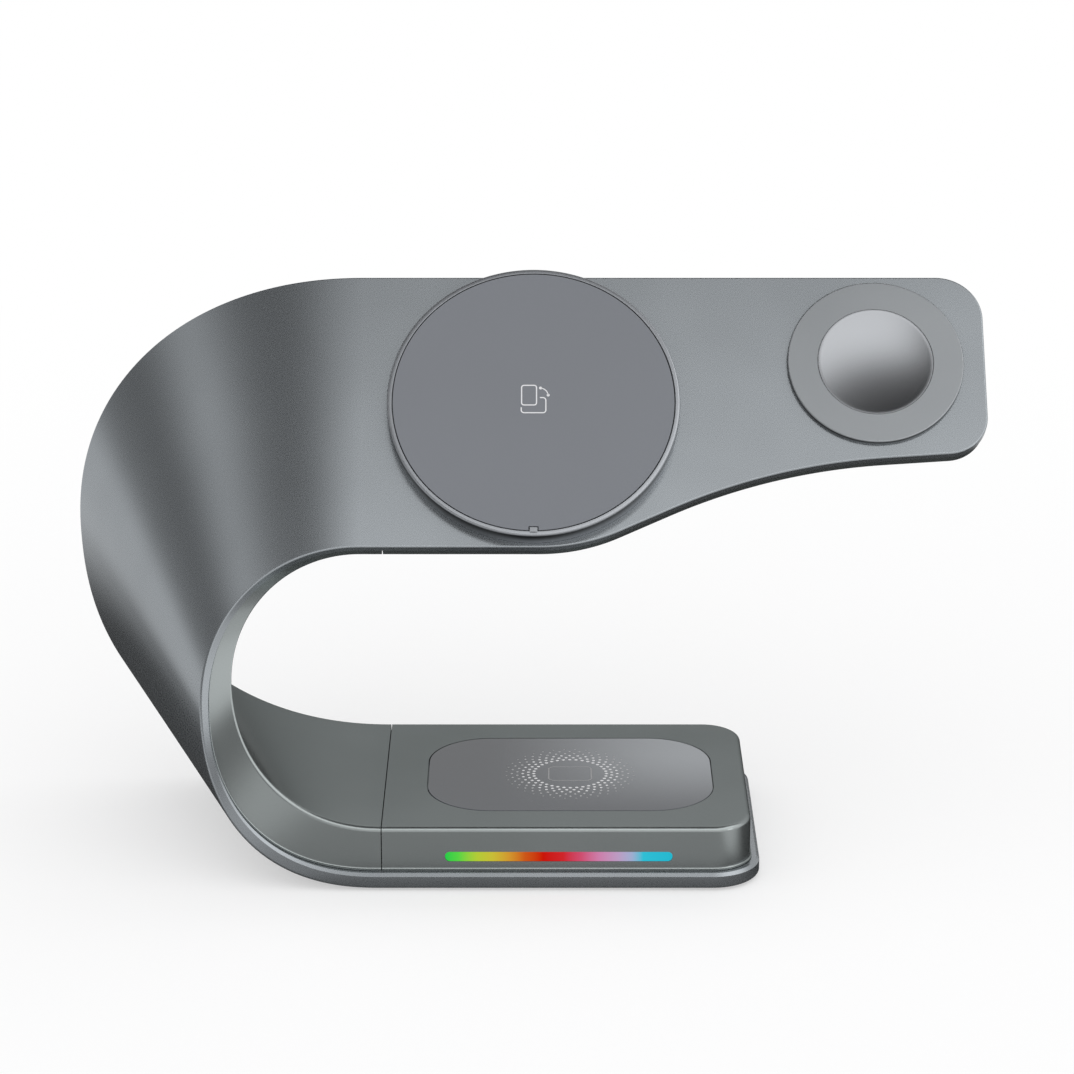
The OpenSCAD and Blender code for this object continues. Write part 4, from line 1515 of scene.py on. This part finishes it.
@dataclass
class WatchPuck:
    """The small puck with its metal dish."""

    x: float = 101.3
    v: float = 41.0
    radius: float = 18.2
    height: float = 1.2
    edge: float = 0.3
    bore_edge: float = 0.06
    barrel: float = 15.0
    depth: float = 3.05
    dish_r: float = 11.9
    dish_depth: float = 0.9
    dish_rim: float = 0.3
    dish_edge: float = 0.05
    seat: float = 0.2
    flange: float = 1.4
    flange_t: float = 0.5
    ring_steps: int = 200
    dish_steps: int = 160
    bowl_steps: int = 30

    def place(self) -> Matrix:
        """Gives the matrix from the puck's middle, on the arm's face, to the row's frame."""
        return BAND.on_arm(self.x, self.v)

    def ring(self) -> Piece:
        """Builds the ring with its barrel.

        Returns:
            The piece.
        """
        solid = Solid()
        bore, inner = self.dish_r + self.flange + BAND.slip, self.dish_r + BAND.play
        profile = [(bore, -self.depth), (self.barrel, -self.depth)]
        profile += [(self.barrel, 0.0), (self.radius, 0.0)]
        profile += [(self.radius - a, self.height - b) for a, b in rounding(self.edge, RIM_STEPS)]
        profile += [(inner + self.bore_edge, self.height), (inner, self.height - self.bore_edge)]
        profile += [(inner, self.seat), (bore, self.seat)]
        solid.lathe(profile, self.ring_steps)
        return solid.finish("watch_puck_ring", self.place(), even=True)

    def bowl(self) -> Outline:
        """Gives the dish's hollow, part of a ball.

        Returns:
            Radii and heights, from its rim to its middle.
        """
        span = self.dish_r - self.dish_rim
        ball = (span**2 + self.dish_depth**2) / (2 * self.dish_depth)
        middle = self.height - self.dish_depth + ball
        radii = [span * (1 - i / self.bowl_steps) for i in range(self.bowl_steps + 1)]
        return [(r, middle - math.sqrt(ball * ball - r * r)) for r in radii]

    def dish(self) -> Piece:
        """Builds the metal dish with the flange that holds it.

        Returns:
            The piece.
        """
        solid = Solid()
        out, low = self.dish_r + self.flange, self.seat - self.flange_t
        rim = [(0.0, low), (out, low), (out, self.seat), (self.dish_r, self.seat)]
        rim += [(self.dish_r, self.height - self.dish_edge)]
        rim += [(self.dish_r - self.dish_edge, self.height)]
        solid.lathe(rim + self.bowl(), self.dish_steps)
        return solid.finish("watch_dish", self.place())


@dataclass
class EarbudPad:
    """The glossy pad let into the base's top, with its ring of dots and its sign."""

    x: float = 38.4
    length: float = 59.0
    width: float = 39.3
    corner: float = 13.0
    thick: float = 0.8
    edge: float = 0.09
    ink: float = 0.012
    ring_start: float = 7.6
    ring_end: float = 13.3
    per_ring: int = 36
    dot_start: float = 0.36
    dot_end: float = 0.19
    rings: tuple[tuple[str, tuple[int, ...]], ...] = (
        ("pad_dots_bright", (0, 1, 2)), ("pad_dots_soft", (3, 4)), ("pad_dots_faint", (5,)),
    )
    last_ring: int = 5
    case: tuple[float, float, float] = (8.9, 7.4, 1.2)
    case_line: float = 0.25

    def place(self, z: float) -> Matrix:
        """Gives the matrix from the pad's middle at a height to the row's frame."""
        return BAND.stand() @ Matrix.Translation((self.x, BAND.width / 2, z))

    def plate(self) -> Piece:
        """Builds the pad.

        Returns:
            The piece.
        """
        solid = Solid()
        outline = rounded_box(self.length, self.width, self.corner, steps=40)
        solid.plate(outline, 0.0, self.thick, self.edge, 3)
        return solid.finish("earbud_pad_sheet", self.place(BAND.base_h - self.thick), even=True)

    def dots(self) -> list[Piece]:
        """Builds the staggered rings of dots, which get smaller and fainter outwards.

        Returns:
            A piece for each strength of ink, from the middle outwards.
        """
        made = []
        for name, rings in self.rings:
            solid = Solid()
            for k in rings:
                share = k / self.last_ring
                radius = mix(self.ring_start, self.ring_end, share)
                size = mix(self.dot_start, self.dot_end, share)
                for i in range(self.per_ring):
                    turn = 2 * math.pi * (i + 0.5 * (k % 2)) / self.per_ring
                    centre = (radius * math.cos(turn), radius * math.sin(turn))
                    dot(solid, centre, size, self.ink, steps=10)
            made.append(solid.finish(name, self.place(BAND.base_h)))
        return made

    def sign(self) -> Piece:
        """Builds the faint outline of an earbud case.

        Returns:
            The piece.
        """
        solid = Solid()
        stroke(solid, rounded_box(*self.case, steps=8), self.case_line, self.ink, closed=True)
        return solid.finish("case_sign", self.place(BAND.base_h))


@dataclass
class LightBar:
    """The milky lens in the base's front wall."""

    x: float = 35.9
    z: float = 6.2
    length: float = 45.9
    height: float = 2.0
    flange: float = 1.0
    end_round: float = 0.98
    edge: float = 0.08
    flange_edge: float = 0.05

    def place(self, depth: float) -> Matrix:
        """Gives the matrix from the bar's middle, at a depth behind the front edge, to the row."""
        return BAND.stand() @ Matrix.Translation((self.x, depth, self.z)) @ UPRIGHT

    def build(self) -> Piece:
        """Builds the lens with its inner flange.

        Returns:
            The piece.
        """
        solid = Solid()
        bar = rounded_box(self.length, self.height, self.end_round * self.height / 2, steps=14)
        solid.plate(bar, 0.0, BAND.cover_t, self.edge, 3)
        wide, high = self.length + 2 * self.flange, self.height + 2 * self.flange
        flange = rounded_box(wide, high, self.height / 2, steps=8)
        solid.plate(flange, -self.flange, 0.0, self.flange_edge, 2)
        wall = BAND.base_rim.reach + BAND.cover_t
        return solid.finish("light_lens", self.place(wall), even=True)


class Palette:
    """The finishes, each built once."""

    def __init__(self) -> None:
        """Builds every material."""
        self.shell = Finish(
            "satin_grey_shell", (0.305, 0.327, 0.345), (0.266, 0.285, 0.301), metallic=0.85,
            roughness=0.27, uneven=0.05, bump=0.0000015, sparkle=0.16,
        ).material()
        self.cover = Finish(
            "satin_grey_cover", (0.288, 0.312, 0.312), (0.256, 0.278, 0.277), metallic=0.85,
            roughness=0.23, uneven=0.05, bump=0.000002, sparkle=0.15, edge_gloss=0.2,
        ).material()
        arm_face = BAND.on_arm().translation.dot(BAND.out)
        self.puck = RimShade(
            "blasted_puck_metal", (0.322, 0.336, 0.356), (0.286, 0.298, 0.316), metallic=0.85,
            roughness=0.30, uneven=0.06, bump=0.000004, sparkle=0.25, axis=tuple(BAND.out),
            low=arm_face + 0.0002, high=arm_face + 0.0033, dim=0.06,
        ).material()
        self.face = Finish(
            "soft_puck_sheet", (0.200, 0.211, 0.232), (0.188, 0.198, 0.218), roughness=0.62,
            uneven=0.06, grain=1500.0, clouds=14.0, sparkle=0.2, bump=0.000006, specular=0.3,
        ).material()
        self.watch = RimShade(
            "satin_watch_ring", (0.30, 0.315, 0.328), (0.262, 0.276, 0.288), metallic=0.8,
            roughness=0.36, uneven=0.06, bump=0.000006, sparkle=0.25, axis=tuple(BAND.out),
            low=arm_face - 0.0002, high=arm_face + 0.00085, dim=0.12,
        ).material()
        self.dish = Finish(
            "polished_dish", (0.281, 0.290, 0.303), (0.262, 0.270, 0.282), metallic=1.0,
            roughness=0.25, uneven=0.05, grain=4200.0, sparkle=0.3, bump=0.000003,
        ).material()
        # The pad's colour is mostly a painted reflection, running from near to far.
        self.pad = GlossPad(
            "gloss_pad", (0.12, 0.125, 0.14), (0.10, 0.105, 0.115), roughness=0.16, uneven=0.03,
            grain=900.0, sparkle=0.2, bump=0.000001, coat=0.1, coat_roughness=0.05,
            near=(0.022, 0.028, 0.038), far=(0.34, 0.365, 0.39),
        ).material()
        self.ink = self.print_ink("bright_ink", 0.80)
        self.ink_soft = self.print_ink("soft_ink", 0.52)
        self.ink_faint = self.print_ink("faint_ink", 0.34)
        self.ink_sign = self.print_ink("sign_ink", 0.34)
        self.lens = LitLens(
            "lit_lens", (0.06, 0.06, 0.06), (0.05, 0.05, 0.05), roughness=0.5, bump=0.000003,
            specular=0.0, start_x=-0.0161, end_x=0.0298, glow=0.92,
            row=(
                (0.00, (0.02, 0.62, 0.07)), (0.06, (0.10, 0.68, 0.06)), (0.14, (0.46, 0.62, 0.04)),
                (0.21, (0.60, 0.52, 0.04)), (0.28, (0.66, 0.32, 0.03)), (0.35, (0.62, 0.10, 0.01)),
                (0.43, (0.60, 0.008, 0.002)), (0.52, (0.64, 0.02, 0.025)),
                (0.60, (0.64, 0.08, 0.17)),
                (0.68, (0.62, 0.22, 0.42)), (0.76, (0.52, 0.34, 0.56)), (0.82, (0.36, 0.43, 0.65)),
                (0.87, (0.03, 0.53, 0.68)), (1.00, (0.02, 0.49, 0.64)),
            ),
        ).material()
        self.rubber = Finish(
            "black_rubber", (0.035, 0.035, 0.036), (0.025, 0.025, 0.026), roughness=0.75,
            uneven=0.1, grain=1800.0, bump=0.00002, specular=0.3,
        ).material()
        self.plated = Finish(
            "nickel_plate", (0.62, 0.61, 0.58), (0.54, 0.53, 0.50), metallic=1.0, roughness=0.26,
            uneven=0.1, grain=2200.0, clouds=90.0, bump=0.000004,
        ).material()
        self.zinc = Finish(
            "zinc_screws", (0.55, 0.55, 0.56), (0.44, 0.44, 0.46), metallic=1.0, roughness=0.34,
            uneven=0.14, grain=2400.0, clouds=160.0, bump=0.000006,
        ).material()
        self.steel = Finish(
            "sheet_steel", (0.47, 0.47, 0.475), (0.36, 0.36, 0.365), metallic=1.0, roughness=0.42,
            uneven=0.16, grain=1200.0, clouds=60.0, bump=0.000012,
        ).material()
        self.ferrite = Finish(
            "sintered_ferrite", (0.075, 0.072, 0.07), (0.045, 0.043, 0.042), metallic=0.2,
            roughness=0.58, uneven=0.2, grain=1600.0, bump=0.00002,
        ).material()
        self.chip = Finish(
            "moulded_chip", (0.03, 0.03, 0.032), (0.018, 0.018, 0.02), roughness=0.55, uneven=0.12,
            grain=3200.0, bump=0.000008,
        ).material()
        self.lamp = Finish(
            "clear_lamp", (0.88, 0.86, 0.70), (0.78, 0.76, 0.60), roughness=0.18, uneven=0.05,
            coat=0.4, grain=1500.0, bump=0.000003,
        ).material()
        self.lead = Finish(
            "flex_lead", (0.50, 0.24, 0.045), (0.38, 0.17, 0.03), roughness=0.3, uneven=0.08,
            coat=0.3, grain=900.0, clouds=120.0, bump=0.000004,
        ).material()
        self.board = CircuitBoard(
            "green_board", (0.035, 0.17, 0.085), (0.025, 0.13, 0.065), roughness=0.32, uneven=0.08,
            coat=0.2, grain=1600.0, bump=0.000004,
        ).material()

    @staticmethod
    def print_ink(name: str, level: float) -> Material:
        """Builds a pale printing ink.

        Args:
            name: its name.
            level: its whiteness, from 0 to 1.

        Returns:
            The material.
        """
        return Finish(
            name, (level, level, level * 1.01), (level * 0.93, level * 0.93, level * 0.95),
            roughness=0.5, uneven=0.06, grain=4000.0, bump=0.000001,
        ).material()

    @staticmethod
    def coil(name: str, node: str, axis: Vector) -> Material:
        """Builds the copper of a coil, wound round the middle of its node.

        Args:
            name: the material's name.
            node: the coil's CAD node.
            axis: the coil's axis.

        Returns:
            The material.
        """
        low, high = (Vector(corner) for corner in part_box(node))
        middle = (low + high) / 2
        return WoundCopper(
            name, (0.72, 0.34, 0.16), (0.60, 0.26, 0.11), metallic=0.9, roughness=0.3, uneven=0.1,
            coat=0.3, axis_point=tuple(middle), axis=tuple(axis),
        ).material()


def dress_nodes(palette: Palette) -> None:
    """Gives each CAD node that stays its finish.

    Args:
        palette: the finishes.
    """
    up, out = Vector((0, 0, 1)), BAND.out
    finishes: dict[str, Material] = {
        "led_board": palette.board, "main_board": palette.board, "phone_board": palette.board,
        "watch_board": palette.board, "main_chips": palette.chip, "phone_chips": palette.chip,
        "bar_lamps": palette.lamp, "board_screws": palette.zinc, "base_screws": palette.zinc,
        "puck_screws": palette.zinc, "power_socket": palette.plated,
        "phone_magnets": palette.plated, "ballast_plate": palette.steel,
        "rubber_feet": palette.rubber, "arm_ribbon": palette.lead, "watch_lead": palette.lead,
        "earbud_ferrite": palette.ferrite, "phone_ferrite": palette.ferrite,
        "watch_ferrite": palette.ferrite,
        "earbud_coil": palette.coil("earbud_copper", "earbud_coil", up),
        "phone_coil": palette.coil("phone_copper", "phone_coil", out),
        "watch_coil": palette.coil("watch_copper", "watch_coil", out),
    }
    for name, finish in finishes.items():
        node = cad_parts[name]
        node.data.materials.clear()
        node.data.materials.append(finish)
        even_normals(node, NODE_WEIGHT)
        log.info("node %s in %s", name, finish.name)


@dataclass
class Studio:
    """Pale floor, one weak lamp, camera, and a white world with panels that only gloss sees."""

    floor_half: float = 6.0
    paper: Colour = (0.97, 0.97, 0.975)
    middle: Point = (0.0, 0.02, 0.0)
    stretch: Point = (0.8, 1.0, 1.0)
    lit: Fade = Fade(0.06, 0.42, 0.48)
    foot_middle: Point = (-0.0035, -0.0025, 0.0)
    foot_half: Point = (0.0515, 0.0305, 1.0)
    front_shade: Fade = Fade(0.03, 0.12, 0.48)
    right_shade: Fade = Fade(0.042, 0.062)
    rear_shade: Fade = Fade(0.09, 0.24, 0.05)
    foot_shade: Fade = Fade(0.004, 0.012, 0.45)
    to_rear: Fade = Fade(-0.046, -0.020)
    front_wall: tuple[tuple[float, float], ...] = (
        (0.0, 1.0), (0.10, 1.2), (0.20, 1.4), (0.50, 1.5), (0.75, 2.0), (0.84, 2.3), (0.89, 2.15),
        (0.905, 1.6), (0.92, 0.64), (0.935, 0.32), (0.96, 0.11), (1.0, 0.06),
    )
    left_wall: tuple[tuple[float, float], ...] = (
        (0.0, 1.15), (0.08, 1.0), (0.14, 0.55), (0.22, 0.27), (0.46, 0.15), (0.54, 0.2),
        (0.62, 0.65), (0.70, 1.08), (0.76, 0.65), (0.82, 0.05), (0.90, 0.0), (1.0, 0.04),
    )
    rear_wall: tuple[tuple[float, float], ...] = (
        (0.0, 0.60), (0.20, 0.80), (0.50, 0.86), (0.70, 0.80), (0.85, 0.45), (0.93, 0.15),
        (1.0, 0.05),
    )
    rear_turn: Fade = Fade(0.0, 0.35)
    left_turn: Fade = Fade(-0.04, -0.24)
    lamp_at: Point = (0.62, -0.46, 0.16)
    lamp_aim: Point = (0.03, 0.0, 0.02)
    lamp_size: tuple[float, float] = (0.16, 0.30)
    lamp_watts: float = 0.25
    lens: float = 120.2
    eye: Point = (0.002425, -0.69605, 0.30022)
    pitch: float = 71.277
    clip_near: float = 0.01

    def floor(self) -> None:
        """Builds the pale floor, which keeps the object's shadow."""
        half = self.floor_half
        corners = [(-half, -half, 0), (half, -half, 0), (half, half, 0), (-half, half, 0)]
        data = bpy.data.meshes.new("floor")
        data.from_pydata(corners, [], [(0, 1, 2, 3)])
        floor = bpy.data.objects.new("floor", data)
        bpy.context.collection.objects.link(floor)
        data.materials.append(self.floor_paper())

    def floor_paper(self) -> Material:
        """Builds the floor's material.

        Returns:
            Paper that is white to the camera far off, and shows gloss its own level, with a
            painted shade of the stand near it.
        """
        material = bpy.data.materials.new("pale_floor")
        material.use_nodes = True
        shader = Shader(material.node_tree)
        rays = shader.node("LightPath").outputs
        seen = shader.math("MAXIMUM", rays["Is Camera Ray"], rays["Is Transmission Ray"])
        paper = shader.node("BsdfDiffuse", {"Color": (*self.paper, 1.0)}).outputs[0]
        # For gloss the floor shows a painted shade of the stand near it, not its lit paper.
        light, painted_gloss_shade = (
            shader.node("Emission", {"Color": WHITE, "Strength": strength}).outputs[0]
            for strength in (1.0, self.shade(shader))
        )
        away = shader.vector("SUBTRACT", shader.place(), self.middle)
        far = shader.length(shader.vector("MULTIPLY", away, self.stretch))
        lit = shader.math("MULTIPLY", seen, shader.remap(far, self.lit))
        direct = shader.node("MixShader", {0: lit, 1: paper, 2: light}).outputs[0]
        both = shader.node("MixShader", {0: rays["Is Glossy Ray"], 1: direct, 2: painted_gloss_shade})
        shader.node("OutputMaterial", {"Surface": both.outputs[0]})
        return material

    def shade(self, shader: Shader) -> Socket:
        """Makes the floor's level as gloss shows it: white far off, in the stand's shade near it.

        Args:
            shader: the floor's shader.

        Returns:
            The level, from 0 to 1.
        """
        away = shader.vector("SUBTRACT", shader.place(), self.foot_middle)
        past = shader.vector("SUBTRACT", shader.vector("ABSOLUTE", away), self.foot_half)
        gap = shader.length(shader.vector("MAXIMUM", past, ORIGIN))
        x, y, _ = shader.parts(shader.place())
        front = shader.math(
            "MAXIMUM", shader.remap(gap, self.front_shade), shader.remap(x, self.right_shade)
        )
        rear = shader.remap(gap, self.rear_shade)
        level = shader.mix(shader.remap(y, self.to_rear), front, rear)
        return shader.math("MULTIPLY", level, shader.remap(gap, self.foot_shade))

    def world(self) -> None:
        """Builds the room: plain white light, with panels and gaps over the horizon for gloss."""
        world = bpy.data.worlds.new("room")
        bpy.context.scene.world = world
        world.use_nodes = True
        shader = Shader(world.node_tree)
        x, y, z = shader.parts(shader.node("TexCoord").outputs["Generated"])
        front, left, rear = (
            shader.ramp(z, [(height, (level,) * 3) for height, level in wall])
            for wall in (self.front_wall, self.left_wall, self.rear_wall)
        )
        room = shader.mix(shader.remap(y, self.rear_turn), front, rear)
        room = shader.mix(shader.remap(x, self.left_turn), room, left)
        glossy = shader.node("LightPath").outputs["Is Glossy Ray"]
        level = shader.mix(glossy, WHITE, room)
        back = shader.node("Background", {"Color": level, "Strength": 1.0})
        shader.node("OutputWorld", {"Surface": back.outputs[0]})

    def lamp(self) -> None:
        """Adds a weak rectangular lamp on the right."""
        data = bpy.data.lights.new("right_panel", "AREA")
        data.shape = "RECTANGLE"
        data.size, data.size_y = self.lamp_size
        data.energy = self.lamp_watts
        made = bpy.data.objects.new("right_panel", data)
        made.location = self.lamp_at
        aim = Vector(self.lamp_aim) - Vector(self.lamp_at)
        made.rotation_euler = aim.to_track_quat("-Z", "Y").to_euler()
        bpy.context.collection.objects.link(made)

    def camera(self) -> None:
        """Adds the camera at the photograph's viewing angle."""
        data = bpy.data.cameras.new("camera")
        data.lens = self.lens
        data.clip_start = self.clip_near
        made = bpy.data.objects.new("camera", data)
        made.location = self.eye
        made.rotation_euler = (math.radians(self.pitch), 0.0, 0.0)
        bpy.context.collection.objects.link(made)
        bpy.context.scene.camera = made

    def build(self) -> None:
        """Builds the studio."""
        self.camera()
        self.floor()
        self.world()
        self.lamp()
        bpy.context.scene.view_settings.view_transform = "Standard"


def main() -> None:
    """Builds the studio and every piece of the stand, and logs each new piece and each dressed
    node.
    """
    logging.basicConfig(level=logging.INFO, format="%(message)s")
    Studio().build()
    palette = Palette()
    phone, watch, pad, bar = PhonePuck(), WatchPuck(), EarbudPad(), LightBar()

    shell = OuterShell(watch)
    shell.dress(shell.build(), palette.shell)
    covers = Covers(pad, bar)
    covers.dress(covers.build(), palette.cover)

    settle(phone.body(), Slot.PUCK_METAL, palette.puck, "phone_puck_body")
    settle(phone.face(), Slot.PUCK_FACE, palette.face, "phone_puck_face")
    settle(phone.sign(), Slot.PUCK_FACE, palette.ink)

    settle(watch.ring(), Slot.WATCH_RING, palette.watch, "watch_ring")
    settle(watch.dish(), Slot.DOME, palette.dish, "watch_dome")

    settle(pad.plate(), Slot.PAD, palette.pad, "earbud_pad")
    for dots, ink in zip(pad.dots(), (palette.ink, palette.ink_soft, palette.ink_faint)):
        settle(dots, Slot.PAD, ink)
    settle(pad.sign(), Slot.PAD, palette.ink_sign)

    settle(bar.build(), Slot.LIGHT_BAR, palette.lens, "light_bar")
    dress_nodes(palette)


if __name__ == "__main__":
    main()
